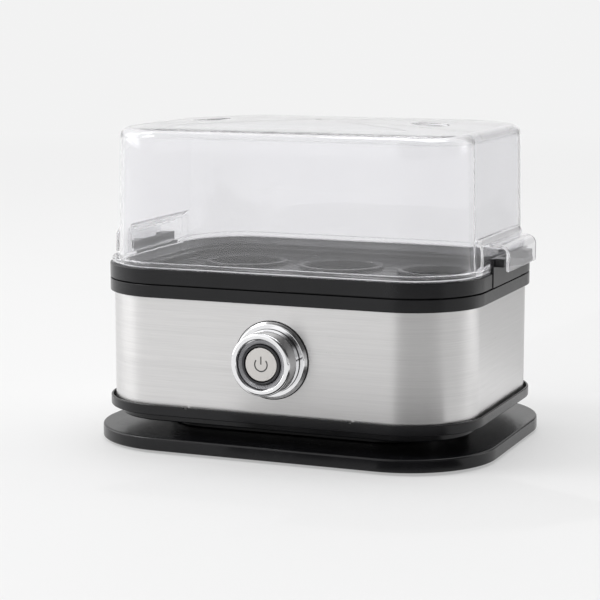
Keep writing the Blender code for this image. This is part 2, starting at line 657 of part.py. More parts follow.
def pocket_mesh(name, step, high, half_y, in_x, low):
    """The two ends of a block, for the lid's bulges at its ends and for their insides."""
    bm = block_mesh(inset(BODY, step), low, high)
    round_edges(bm, edges_at(bm, high), POCKET_ROUND - (step - POCKET_STEP) / 2, 2)
    ends = new_cutter(name, bm, LID_LIFT)
    reach = BODY[0] + MM
    limits = end_boxes((in_x, -half_y, low - MM), (reach, half_y, high + MM))
    combine(ends, new_cutter(f"{name}_limits", limits, LID_LIFT), "INTERSECT")
    return ends


def arch_tool(side):
    """One clear handle: an upside-down J that reaches over the tray's tabs."""
    shapes = []
    inner_x, inner_high, inner_round = ARCH_OUT_X - ARCH_SKIN, ARCH_HIGH - ARCH_SKIN, ARCH_ROUND - ARCH_SKIN
    sizes = (
        (82.0 * MM, ARCH_OUT_X, ARCH_LOW, ARCH_HIGH, ARCH_HALF_Y, ARCH_ROUND),
        (82.3 * MM, inner_x, ARCH_LOW - MM, inner_high, ARCH_HALF_Y + MM, inner_round),
    )
    for in_x, out_x, low, high, half_y, corner in sizes:
        xs = sorted((side * in_x, side * out_x))
        bm = box_mesh((xs[0], -half_y, low), (xs[1], half_y, high))
        outer = [e for e in edges_at(bm, high) if all(abs(v.co.x - side * out_x) < TINY for v in e.verts)]
        round_edges(bm, outer, corner, 4)
        shapes.append(bm)
    name = "right" if side > 0 else "left"
    arch = new_cutter(f"lid_arch_{name}", shapes[0], LID_LIFT)
    combine(arch, new_cutter(f"lid_arch_{name}_inside", shapes[1], LID_LIFT), "DIFFERENCE")
    return arch


def make_lid(clear):
    """The clear lid: shell, foot flange, end pockets, two handles and the steam vents."""
    lid = new_part("lid", lid_surface(), clear, LID_LIFT)
    skin = lid.modifiers.new("skin", "SOLIDIFY")
    skin.thickness = LID_SKIN
    skin.offset = -1
    skin.use_even_offset = True
    ring = block_mesh(inset(BODY, FLANGE_STEP), FLANGE_LOW, FLANGE_HIGH)
    flange = new_cutter("lid_flange", ring, LID_LIFT)
    hole = block_mesh(inset(BODY, LID_STEP + LID_SKIN / 2), FLANGE_LOW - MM, FLANGE_HIGH + MM)
    combine(flange, new_cutter("lid_flange_hole", hole, LID_LIFT), "DIFFERENCE")
    notch_low = (BODY[0] - POCKET_STEP, -GRIP_HALF_Y - GAP, FLANGE_LOW - MM)
    notches = end_boxes(notch_low, (BODY[0] + MM, GRIP_HALF_Y + GAP, FLANGE_HIGH + MM))
    combine(flange, new_cutter("lid_flange_notches", notches, LID_LIFT), "DIFFERENCE")
    combine(lid, flange, "UNION")
    pocket = (POCKET_STEP, POCKET_HIGH, POCKET_HALF_Y, POCKET_IN_X, FLANGE_HIGH - MM)
    combine(lid, pocket_mesh("lid_pockets", *pocket), "UNION")
    inner_high, inner_half_y = POCKET_HIGH - LID_SKIN, POCKET_HALF_Y - LID_SKIN
    inner = (POCKET_STEP + LID_SKIN, inner_high, inner_half_y, POCKET_IN_X - 3 * MM, FLANGE_HIGH)
    combine(lid, pocket_mesh("lid_pocket_insides", *inner), "DIFFERENCE")
    for side in (1, -1):
        combine(lid, arch_tool(side), "UNION")
    vents = [(VENT_MIDDLE_X + side * VENT_PITCH, 0) for side in (1, -1)]
    cut(lid, "vents", pegs_mesh(VENT_RADIUS, 125 * MM, 145 * MM, vents, 24))
    cut(lid, "vent_pin", pegs_mesh(VENT_PIN_RADIUS, 125 * MM, 145 * MM, [(VENT_MIDDLE_X, 0)]))


def build():
    black = principled("black_plastic", BLACK, 0.42)
    rubber = principled("rubber", (0.02, 0.02, 0.02), 0.8)
    steel = principled("brushed_steel", (0.62, 0.61, 0.61), 0.32, 1.0)
    bare = principled("bare_steel", (0.55, 0.55, 0.56), 0.35, 1.0)
    chrome = principled("chrome", (0.85, 0.85, 0.84), 0.06, 1.0)
    satin = principled("satin_cap", (0.72, 0.71, 0.70), 0.35, 0.9)
    light = principled("light_ring", (0.35, 0.35, 0.38), 0.3)
    dark = principled("dark_plastic", (0.05, 0.05, 0.055), 0.35)
    silicone = principled("silicone", (0.75, 0.73, 0.70), 0.6)
    ceramic = principled("ceramic", (0.85, 0.83, 0.78), 0.5)
    zinc = principled("zinc_plate", (0.60, 0.61, 0.63), 0.4, 1.0)
    board_green = principled("circuit_board", (0.03, 0.16, 0.07), 0.5)
    clear = principled("clear_plastic", (0.97, 0.97, 0.99), 0.05, transmission=1.0)
    make_base_plate(black)
    make_feet(rubber)
    make_pedestal(black)
    make_screws(bare)
    make_lower_housing(black)
    make_steel_band(steel)
    make_collar(black)
    make_cord_inlet(black)
    make_plate_seal(silicone)
    make_heating_plate(bare)
    make_heating_element(bare)
    make_clamp_bar(zinc)
    make_thermostat(bare, ceramic)
    make_terminal_block(ceramic)
    make_leads(silicone)
    make_button_trim(chrome, light, dark)
    make_button_nut(bare)
    make_button_cap(satin)
    make_return_spring(bare)
    make_switch(dark, board_green, zinc)
    make_egg_tray(black)
    make_lid(clear)


clear_scene()
PARTS = new_collection("egg_cooker")
CUTTERS = new_collection("cutters")
FRAME = new_empty("frame", (0, CENTRE_Y, 0))
BUTTON_HOME = new_empty("button_home", (BUTTON_X, BAND_FRONT_Y, BUTTON_Z), FRAME)
BUTTON_HOME.rotation_euler = (math.radians(90), 0, 0)
BUTTON_AXIS = new_empty("button_axis", (0, 0, 0), BUTTON_HOME)
TRAY_LIFT = new_empty("tray_lift", (0, 0, 0), FRAME)
LID_LIFT = new_empty("lid_lift", (0, 0, 0), TRAY_LIFT)
build()
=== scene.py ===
"""The egg cooker's looks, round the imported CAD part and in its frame: metres, +Z up, button to -Y."""

import json
import math

import bmesh
import bpy
from mathutils import Matrix, Vector


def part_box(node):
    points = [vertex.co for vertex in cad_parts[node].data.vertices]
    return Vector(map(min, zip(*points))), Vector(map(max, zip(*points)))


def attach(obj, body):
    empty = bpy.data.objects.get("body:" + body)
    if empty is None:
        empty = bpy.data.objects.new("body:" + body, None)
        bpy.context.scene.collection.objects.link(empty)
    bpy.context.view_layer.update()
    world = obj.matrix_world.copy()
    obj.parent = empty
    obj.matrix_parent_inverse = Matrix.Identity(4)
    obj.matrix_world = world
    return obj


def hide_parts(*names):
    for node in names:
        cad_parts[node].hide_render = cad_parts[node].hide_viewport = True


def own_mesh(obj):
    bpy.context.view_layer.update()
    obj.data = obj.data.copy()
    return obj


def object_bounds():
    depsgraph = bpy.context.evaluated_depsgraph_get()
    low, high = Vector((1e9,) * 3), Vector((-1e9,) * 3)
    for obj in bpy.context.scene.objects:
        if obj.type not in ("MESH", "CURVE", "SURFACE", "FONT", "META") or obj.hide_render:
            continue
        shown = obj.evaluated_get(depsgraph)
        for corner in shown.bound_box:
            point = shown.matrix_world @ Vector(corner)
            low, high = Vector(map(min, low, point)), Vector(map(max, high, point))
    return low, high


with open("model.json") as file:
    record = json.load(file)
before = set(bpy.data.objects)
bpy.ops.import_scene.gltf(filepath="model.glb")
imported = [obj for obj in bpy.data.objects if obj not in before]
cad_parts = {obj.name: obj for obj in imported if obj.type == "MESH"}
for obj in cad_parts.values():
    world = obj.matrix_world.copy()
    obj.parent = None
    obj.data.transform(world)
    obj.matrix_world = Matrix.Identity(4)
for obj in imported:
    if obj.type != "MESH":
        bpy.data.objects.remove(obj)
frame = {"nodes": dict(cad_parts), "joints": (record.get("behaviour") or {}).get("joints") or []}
CAD_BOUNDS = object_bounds()

MM = 0.001
UP = Vector((0, 0, 1))


# Sizes, from the CAD nodes' boxes. A "step" is a distance in from the body's outline.


def low(node):
    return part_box(node)[0]


def high(node):
    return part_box(node)[1]


def middle(node):
    return (low(node) + high(node)) / 2


def outline_of(node, corner):
    """(half length, half width, corner radius) of a node whose plan is a rounded rectangle."""
    half = (high(node) - low(node)) / 2
    return half.x, half.y, corner


CORNER, GAP = 31.7 * MM, 0.3 * MM
BODY = outline_of("collar", CORNER)
BASE = outline_of("base_plate", 39.4 * MM)
PEDESTAL = outline_of("pedestal", 24.0 * MM)
CENTRE = Vector((middle("collar").x, middle("collar").y, 0))

BASE_LOW, BASE_HIGH = low("base_plate").z, high("base_plate").z
PEDESTAL_LOW, PEDESTAL_HIGH = low("pedestal").z, high("pedestal").z
TIER_LOW = low("lower_housing").z
FLOOR_HIGH = TIER_LOW + 2.2 * MM
LIP_LOW, LIP_HIGH = TIER_LOW + 3.4 * MM, TIER_LOW + 7.8 * MM
SPIGOT_HIGH = TIER_LOW + 12.5 * MM
BAND_LOW, BAND_HIGH = low("steel_band").z, high("steel_band").z
BAND_STEP, BAND_SKIN = BODY[0] - high("steel_band").x, 0.6 * MM
SPIGOT_STEP = BAND_STEP + BAND_SKIN + GAP
STEP_HIGH = high("collar").z
COLLAR_HIGH, COLLAR_LOW = STEP_HIGH - 0.3 * MM, STEP_HIGH - 5.6 * MM
SEAL_LOW, SEAL_HIGH = low("plate_seal").z, high("plate_seal").z
SHELF_HIGH = SEAL_LOW - GAP
DISH_LOW, DISH_HIGH = low("heating_plate").z, high("heating_plate").z
DISH_STEP = 14.2 * MM
DISH_SKIN = 0.8 * MM
TRAY_LOW, GRIP_HIGH = low("egg_tray").z, high("egg_tray").z
TRAY_FLOOR = TRAY_LOW + 2 * MM
TRAY_LEDGE = TRAY_LOW + 5.2 * MM
RIM_LOW, RIM_HIGH = TRAY_LOW + 3.2 * MM, TRAY_LOW + 9.45 * MM
RIM_WALL = 3.4 * MM
LID_LOW, LID_HIGH = low("lid").z, high("lid").z
FLANGE_STEP = BODY[1] - (high("lid").y - CENTRE.y)
FLANGE_LOW, FLANGE_HIGH = RIM_HIGH + 0.3 * MM, RIM_HIGH + 2.25 * MM
LID_STEP, LID_SKIN, LID_DRAFT, LID_FILLET = 3.8 * MM, 1.8 * MM, 1.3 * MM, 3.4 * MM
LID_CROWN_X, LID_CROWN_Y = 2.4 * MM, 1.1 * MM
POCKET_STEP, POCKET_HALF_Y, POCKET_ROUND = 1.6 * MM, 31.2 * MM, 2.6 * MM
POCKET_HIGH = LID_LOW + 18.1 * MM
ARCH_OUT, ARCH_HALF_Y = high("lid").x, 20.6 * MM
ARCH_LOW, ARCH_HIGH, ARCH_SKIN = LID_LOW + 4.0 * MM, LID_LOW + 15.3 * MM, 1.5 * MM
VENT_MIDDLE_X, VENT_PITCH, VENT_RADIUS, PIN_RADIUS = -1.9 * MM, 51.0 * MM, 8.5 * MM, 1.5 * MM
EGG_X, EGG_Y, EGG_HOLE, EGG_SEAT = 46.5 * MM, 24.5 * MM, 16.5 * MM, 19.2 * MM
GRIP_HALF_Y = 21 * MM
SCREW_BORE, CLAMP_SCREW_X = 1.85 * MM, 75 * MM

BUTTON = Vector((middle("button_barrel").x, low("steel_band").y, middle("button_barrel").z))
INLET = Vector((middle("cord_inlet").x, high("steel_band").y, middle("cord_inlet").z))
FEET = [f"foot_{i}" for i in range(1, 5)]


# Node trees.


class Tree:
    """A short way to write the nodes of a material or of the world."""

    def __init__(self, owner):
        self.nodes, self.links = owner.node_tree.nodes, owner.node_tree.links

    def add(self, kind, inputs=None, **settings):
        node = self.nodes.new(kind)
        for key, value in settings.items():
            setattr(node, key, value)
        for key, value in (inputs or {}).items():
            self.put(node.inputs[key], value)
        return node

    def put(self, socket, value):
        if isinstance(value, bpy.types.NodeSocket):
            self.links.new(value, socket)
        else:
            socket.default_value = value

    def math(self, operation, first, second):
        return self.add("ShaderNodeMath", {0: first, 1: second}, operation=operation).outputs[0]

    def mix(self, first, second, share):
        """A weighted sum of two values: a share of the first and the rest from the second."""
        parts = self.math("MULTIPLY", first, share), self.math("MULTIPLY", second, 1 - share)
        return self.math("ADD", *parts)

    def noise(self, scale, detail, roughness=0.5, stretch=(1, 1, 1)):
        """Noise in the object's own space, scale in cells per metre."""
        place = self.add("ShaderNodeTexCoord").outputs["Object"]
        size = [scale * s for s in stretch]
        mapped = self.add("ShaderNodeMapping", {"Vector": place, "Scale": size}).outputs[0]
        inputs = {"Vector": mapped, "Scale": 1.0, "Detail": detail, "Roughness": roughness}
        return self.add("ShaderNodeTexNoise", inputs).outputs["Fac"]

    def remap(self, value, to_low, to_high, from_low=0.3, from_high=0.7):
        inputs = {"Value": value, "From Min": from_low, "From Max": from_high}
        inputs |= {"To Min": to_low, "To Max": to_high}
        return self.add("ShaderNodeMapRange", inputs).outputs["Result"]

    def blend(self, share, first, second):
        inputs = {0: share, 6: first, 7: second}
        return self.add("ShaderNodeMix", inputs, data_type="RGBA").outputs[2]

    def ramp(self, value, stops, smooth=False):
        """Grey levels along a value."""
        node = self.add("ShaderNodeValToRGB", {"Fac": value})
        node.color_ramp.interpolation = "EASE" if smooth else "LINEAR"
        elements = node.color_ramp.elements
        while len(elements) < len(stops):
            elements.new(0.5)
        for element, (place, level) in zip(elements, stops):
            element.position = place
            element.color = (level, level, level, 1)
        return node.outputs["Color"]

    def bump(self, height, strength, depth):
        inputs = {"Height": height, "Strength": strength, "Distance": depth}
        return self.add("ShaderNodeBump", inputs).outputs["Normal"]


def grey(level, tint=(1, 1, 1)):
    return (level * tint[0], level * tint[1], level * tint[2], 1)


def new_material(name, sockets):
    made = bpy.data.materials.new(name)
    made.use_nodes = True
    tree = Tree(made)
    shader = tree.nodes["Principled BSDF"]
    for key, value in sockets.items():
        shader.inputs[key].default_value = value
    return made, tree, shader


def surface(name, color, spread, rough, rough_spread, grain, depth, sockets=None):
    """A material with slow changes of colour and gloss and a fine grain."""
    made, tree, shader = new_material(name, sockets or {})
    slow, fine = tree.noise(55, 4, 0.6), tree.noise(grain, 2, 0.6)
    dark, light = [Vector(color) * (1 + s) for s in (-spread, spread)]
    base = tree.blend(tree.remap(slow, 0, 1), (*dark, 1), (*light, 1))
    tree.put(shader.inputs["Base Color"], base)
    level = tree.remap(tree.mix(slow, fine, 0.6), rough - rough_spread, rough + rough_spread)
    tree.put(shader.inputs["Roughness"], level)
    tree.put(shader.inputs["Normal"], tree.bump(fine, 0.35, depth))
    return made


def brushed_steel(name):
    """Sheet steel whose brushing runs level round the body."""
    sockets = {"Metallic": 1.0, "Anisotropic": 0.7, "Anisotropic Rotation": 0.25}
    made, tree, shader = new_material(name, sockets)
    rough, lines_per_metre = 0.3, 3600
    tangent = tree.add("ShaderNodeTangent", direction_type="RADIAL", axis="Z").outputs[0]
    tree.put(shader.inputs["Tangent"], tangent)
    fine = tree.noise(1, 3, 0.65, (60, 60, lines_per_metre))
    broad = tree.noise(1, 3, 0.6, (5, 5, lines_per_metre / 4))
    lined = tree.mix(fine, broad, 0.6)
    dark, light = [grey(level, (1, 0.99, 0.985)) for level in (0.60, 0.70)]
    tree.put(shader.inputs["Base Color"], tree.blend(tree.remap(lined, 0, 1), dark, light))
    tree.put(shader.inputs["Roughness"], tree.remap(lined, rough - 0.03, rough + 0.04))
    tree.put(shader.inputs["Normal"], tree.bump(lined, 0.06, 0.02 * MM))
    return made


def turned_metal(name, color, rough, centre, normal):
    """Metal with fine rings round an axis, as a lathe or a spinning polisher leaves it."""
    made, tree, shader = new_material(name, {"Metallic": 1.0})
    place = tree.add("ShaderNodeTexCoord").outputs["Object"]
    off = tree.add("ShaderNodeVectorMath", {0: place, 1: centre}, operation="SUBTRACT").outputs[0]
    flat = [0.0 if n else 1.0 for n in normal]
    level = tree.add("ShaderNodeVectorMath", {0: off, 1: flat}, operation="MULTIPLY").outputs[0]
    radius = tree.add("ShaderNodeVectorMath", {0: level}, operation="LENGTH").outputs["Value"]
    rings_per_metre = 9000.0
    inputs = {"W": tree.math("MULTIPLY", radius, rings_per_metre), "Scale": 1.0, "Detail": 2.0}
    rings = tree.add("ShaderNodeTexNoise", inputs, noise_dimensions="1D").outputs["Fac"]
    share = tree.remap(tree.mix(rings, tree.noise(120, 4, 0.6), 0.5), 0, 1)
    dark, light = Vector(color) * 0.94, Vector(color) * 1.05
    tree.put(shader.inputs["Base Color"], tree.blend(share, (*dark, 1), (*light, 1)))
    tree.put(shader.inputs["Roughness"], tree.remap(share, rough * 0.8, rough * 1.25, 0, 1))
    tree.put(shader.inputs["Normal"], tree.bump(rings, 0.08, 0.01 * MM))
    return made


# Painted light: after this many walls the plastic glows at a fixed level, the studio's mean level, in
# place of light trapped in the plastic.
MOST_WALLS, PAINTED_EDGE_GLOW = 6.0, 0.78


def clear_plastic(name):
    """Clear moulded plastic with a slight haze.

    Shadow and diffuse rays pass straight through, so that what is inside is lit. Where light has already
    crossed many walls, as in a thin edge, the plastic glows at the studio's mean level: painted light.
    """
    sockets = {"Transmission Weight": 0.945, "IOR": 1.49}
    made, tree, shader = new_material(name, sockets)
    slow = tree.noise(30, 3)
    dark, light = (0.955, 0.952, 0.972, 1), (0.985, 0.984, 0.992, 1)
    tree.put(shader.inputs["Base Color"], tree.blend(slow, dark, light))
    tree.put(shader.inputs["Roughness"], tree.remap(slow, 0.0, 0.02))
    path = tree.add("ShaderNodeLightPath")
    through = tree.math("MAXIMUM", path.outputs["Is Shadow Ray"], path.outputs["Is Diffuse Ray"])
    air = tree.add("ShaderNodeBsdfTransparent", {"Color": (0.95, 0.95, 0.965, 1)})
    walls = tree.add("ShaderNodeMixShader", {0: through, 1: shader.outputs[0], 2: air.outputs[0]})
    trapped = tree.math("GREATER_THAN", path.outputs["Ray Depth"], MOST_WALLS)
    made.cycles.emission_sampling = "NONE"
    # Painted light: an emission that makes the lid's thin edges glow at a fixed level.
    mean = tree.add("ShaderNodeEmission", {"Color": grey(PAINTED_EDGE_GLOW), "Strength": 1.0})
    both = tree.add("ShaderNodeMixShader", {0: trapped, 1: walls.outputs[0], 2: mean.outputs[0]})
    tree.links.new(both.outputs[0], tree.nodes["Material Output"].inputs["Surface"])
    return made


def circuit_board(name):
    """Green board with paler tracks."""
    made, tree, shader = new_material(name, {"Specular IOR Level": 0.5})
    place = tree.add("ShaderNodeTexCoord").outputs["Object"]
    inputs = {"Vector": place, "Scale": 300.0, "Color1": (0.02, 0.12, 0.05, 1)}
    inputs |= {"Color2": (0.03, 0.16, 0.07, 1), "Mortar": (0.10, 0.28, 0.10, 1), "Mortar Size": 0.05}
    tracks = tree.add("ShaderNodeTexBrick", inputs)
    tree.put(shader.inputs["Base Color"], tracks.outputs["Color"])
    tree.put(shader.inputs["Roughness"], tree.remap(tracks.outputs["Fac"], 0.35, 0.5, 0, 1))
    return made


def make_looks():
    """One material for each of the record's material slots."""
    soft, metal = {"Specular IOR Level": 0.34}, {"Metallic": 1.0}
    black, steel, zinc = (0.0055, 0.0055, 0.0065), (0.56, 0.56, 0.57), (0.50, 0.51, 0.53)
    return {
        "black_plastic": surface("satin_black", black, 0.25, 0.24, 0.05, 2600, 0.03 * MM, soft),
        "rubber": surface("foot_rubber", (0.016, 0.016, 0.016), 0.3, 0.75, 0.1, 900, 0.08 * MM),
        "brushed_steel": brushed_steel("steel_brushed_level"),
        "bare_steel": surface("steel_bare", steel, 0.05, 0.32, 0.04, 900, 0.003 * MM, metal),
        "chrome": turned_metal("chrome_plate", (0.86, 0.86, 0.87), 0.07, BUTTON, (0, 1, 0)),
        "satin_cap": turned_metal("satin_metal", (0.66, 0.64, 0.62), 0.34, BUTTON, (0, 1, 0)),
        "light_ring": surface("frosted_grey", (0.37, 0.37, 0.385), 0.15, 0.3, 0.06, 1500, 0.02 * MM),
        "dark_plastic": surface("dark_satin", (0.022, 0.022, 0.025), 0.25, 0.34, 0.06, 2600, 0.03 * MM),
        "silicone": surface("silicone_white", (0.62, 0.60, 0.57), 0.06, 0.5, 0.08, 700, 0.04 * MM),
        "ceramic": surface("steatite", (0.72, 0.69, 0.62), 0.05, 0.45, 0.08, 900, 0.04 * MM),
        "zinc_plate": surface("zinc_spangle", zinc, 0.12, 0.36, 0.1, 260, 0.02 * MM, metal),
        "circuit_board": circuit_board("board_green"),
        "clear_plastic": clear_plastic("clear_lid"),
    }


LOOKS = make_looks()


# Mesh helpers.


def soften(points, loop=True, steps=4):
    """A profile with rounded corners, from points given as (step, height, radius)."""
    found = []
    for i, (x, z, radius) in enumerate(points):
        here = Vector((x, z))
        if radius == 0 or (not loop and i in (0, len(points) - 1)):
            found.append(here)
            continue
        back = (Vector(points[i - 1][:2]) - here).normalized()
        onward = (Vector(points[(i + 1) % len(points)][:2]) - here).normalized()
        half = back.angle(onward) / 2
        hub = here + (back + onward).normalized() * radius / math.sin(half)
        start = here + back * radius / math.tan(half) - hub
        turn = (math.pi - 2 * half) * (1 if back.cross(onward) < 0 else -1)
        for k in range(steps + 1):
            found.append(hub + Matrix.Rotation(turn * k / steps, 2) @ start)
    return found


def stations(outline, angles=range(0, 91, 5), end_marks=()):
    """Places anticlockwise round a rounded rectangle: (middle of the corner's arc, outward direction)."""
    half_x, half_y, corner = outline
    long, wide = half_x - corner, half_y - corner
    found = []
    for quarter, (sx, sy) in enumerate(((1, 1), (-1, 1), (-1, -1), (1, -1))):
        turns = [90 - a for a in reversed(angles)] if quarter % 2 else angles
        for degrees in turns:
            angle = math.radians(90 * quarter + degrees)
            out = Vector((math.cos(angle), math.sin(angle), 0))
            found.append((Vector((sx * long, sy * wide, 0)), out))
        if quarter % 2:
            side = -1 if quarter == 1 else 1
            for y in sorted(end_marks, reverse=side < 0):
                found.append((Vector((side * long, y, 0)), Vector((side, 0, 0))))
    return found


def point(station, corner, step, height, scale=1.0):
    """The place at a station that is a step in from the outline. Scale draws it in to the middle."""
    hub, out = station
    return CENTRE + (hub + out * (corner - step)) * scale + UP * height


def loft(rings, loop):
    """A closed surface through rings of points, its ends joined if loop is set and capped if not."""
    bm = bmesh.new()
    made = [[bm.verts.new(place) for place in ring] for ring in rings]
    pairs = list(zip(made, made[1:])) + ([(made[-1], made[0])] if loop else [])
    for first, second in pairs:
        for i in range(len(first)):
            j = (i + 1) % len(first)
            bm.faces.new((first[i], first[j], second[j], second[i]))
    if not loop:
        bm.faces.new(made[0])
        bm.faces.new(made[-1])
    bmesh.ops.remove_doubles(bm, verts=bm.verts, dist=1e-7)
    bmesh.ops.recalc_face_normals(bm, faces=bm.faces)
    return bm


def swept(outline, profile, loop=True, steps=4):
    """A rounded profile carried round an outline."""
    places = stations(outline)
    rings = [[point(s, outline[2], step, z) for s in places] for step, z in soften(profile, loop, steps)]
    return loft(rings, loop)


def lathe(profile, steps, loop=True, rounding=4, ripple=0.0):
    """A profile of (radius, height, rounding) turned about Z. Ripple lifts every second spoke."""
    rings = []
    for radius, height in soften(profile, loop, rounding):
        ring = []
        for i in range(steps):
            angle = 2 * math.pi * i / steps
            lift = ripple if i % 2 and ripple else 0.0
            ring.append(Vector((radius * math.cos(angle), radius * math.sin(angle), height + lift)))
        rings.append(ring)
    return loft(rings, loop)


def block(near, far, round_by=0.0):
    """A box between two corners with rounded edges."""
    bm = bmesh.new()
    made = bmesh.ops.create_cube(bm, size=1.0)["verts"]
    near, far = Vector(near), Vector(far)
    bmesh.ops.scale(bm, vec=far - near, verts=made)
    bmesh.ops.translate(bm, vec=(near + far) / 2, verts=made)
    if round_by:
        bevel(bm, list(bm.edges), round_by)
    return bm


def bevel(bm, edges, offset):
    bmesh.ops.bevel(bm, geom=edges, offset=offset, segments=3, profile=0.5, affect="EDGES")


def placed(bm, matrix):
    bmesh.ops.transform(bm, matrix=matrix, verts=bm.verts)
    return bm


def standing(x, y):
    return Matrix.Translation(CENTRE + Vector((x, y, 0)))


def facing_front(place):
    """Turns a lathe's axis to point out of the front face."""
    return Matrix.Translation(place) @ Matrix.Rotation(math.radians(90), 4, "X")


def facing_back(place):
    return Matrix.Translation(place) @ Matrix.Rotation(math.radians(-90), 4, "X")


def new_object(name, bm):
    mesh = bpy.data.meshes.new(name)
    bm.to_mesh(mesh)
    bm.free()
    obj = bpy.data.objects.new(name, mesh)
    bpy.context.scene.collection.objects.link(obj)
    return obj


def combine(obj, shapes, operation):
    """Adds or takes away several bmesh shapes from obj, one after another."""
    for number, bm in enumerate(shapes):
        tool = new_object(f"{obj.name}_tool_{number}", bm)
        modifier = obj.modifiers.new("tool", "BOOLEAN")
        modifier.operation, modifier.object, modifier.solver = operation, tool, "EXACT"
        bpy.context.view_layer.update()
        evaluated = obj.evaluated_get(bpy.context.evaluated_depsgraph_get())
        result = bpy.data.meshes.new_from_object(evaluated)
        obj.modifiers.remove(modifier)
        obj.data = result
        bpy.data.objects.remove(tool)


def weld(obj):
    """Closes up the slivers that cutting leaves in a mesh."""
    near = 0.002 * MM
    bm = bmesh.new()
    bm.from_mesh(obj.data)
    bmesh.ops.remove_doubles(bm, verts=bm.verts, dist=near)
    bmesh.ops.dissolve_degenerate(bm, edges=bm.edges, dist=near)
    bm.to_mesh(obj.data)
    bm.free()


CREASE = math.radians(32)


def piece(obj, body, slot, *nodes, weighted=True):
    """Finishes a piece: smooth shading, its material, its body and the CAD nodes it replaces."""
    mesh = obj.data
    mesh.materials.clear()
    mesh.materials.append(LOOKS[slot])
    for polygon in mesh.polygons:
        polygon.use_smooth = True
    mesh.set_sharp_from_angle(angle=CREASE)
    if weighted:
        modifier = obj.modifiers.new("even_shading", "WEIGHTED_NORMAL")
        modifier.keep_sharp = True
    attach(obj, body)
    if nodes:
        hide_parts(*nodes)
    return obj


def corners(x, y):
    return [(x, y), (-x, y), (-x, -y), (x, -y)]


def peg(radius, bottom, top, x, y, steps=40):
    """An upright cylinder, to add or to cut with."""
    profile = [(radius, top, 0), (radius, bottom, 0)]
    return placed(lathe(profile, steps, loop=False), standing(x, y))


# Base.


def make_base():
    """The wide base plate: a shallow shell with a rounded top edge, on four feet."""
    skin, flat = 2.4 * MM, 24 * MM
    under = BASE_HIGH - skin
    profile = [(flat, BASE_HIGH, 0), (0, BASE_HIGH, 0.9 * MM), (0, BASE_LOW, 0.5 * MM)]
    profile += [(skin, BASE_LOW, 0.3 * MM), (skin, under, 0.6 * MM), (flat, under, 0)]
    plate = new_object("base_shell", swept(BASE, profile, loop=False, steps=6))
    foot = middle("foot_1") - CENTRE
    places = corners(abs(foot.x), abs(foot.y))
    boss_low = high("foot_1").z + GAP
    combine(plate, [peg(8.5 * MM, boss_low, under + MM, *p) for p in places], "UNION")
    screw = middle("base_screw_1") - CENTRE
    places = corners(abs(screw.x), abs(screw.y))
    combine(plate, [peg(6 * MM, 1.5 * MM, under + MM, *p) for p in places], "UNION")
    combine(plate, [peg(4 * MM, 0, 3.9 * MM, *p) for p in places], "DIFFERENCE")
    combine(plate, [peg(SCREW_BORE, 3 * MM, 8 * MM, *p) for p in places], "DIFFERENCE")
    piece(plate, "base", "black_plastic", "base_plate")


def make_feet():
    """Rubber pads, hollow underneath like suction feet."""
    radius, top = (high("foot_1").x - low("foot_1").x) / 2, high("foot_1").z
    profile = [(radius, top, 0.2 * MM), (radius, 0, 0.5 * MM), (4 * MM, 0, 0.3 * MM)]
    profile += [(3.4 * MM, 0.3 * MM, 0.1 * MM), (0.3 * MM, 0.3 * MM, 0), (0.3 * MM, top, 0)]
    for number, node in enumerate(FEET, 1):
        offset = middle(node) - CENTRE
        bm = placed(lathe(profile, 48), standing(offset.x, offset.y))
        piece(new_object(f"foot_pad_{number}", bm), "base", "rubber", node)


def make_pedestal():
    """The recessed neck between the base plate and the body."""
    wall, flat, under = 2.5 * MM, 16 * MM, PEDESTAL_HIGH - 1.8 * MM
    profile = [(flat, PEDESTAL_HIGH, 0), (0, PEDESTAL_HIGH, 0.4 * MM), (0, PEDESTAL_LOW, 0.2 * MM)]
    profile += [(wall, PEDESTAL_LOW, 0.2 * MM), (wall, under, 0.4 * MM), (flat, under, 0)]
    neck = new_object("pedestal_neck", swept(PEDESTAL, profile, loop=False))
    piece(neck, "base", "black_plastic", "pedestal")


# Body.


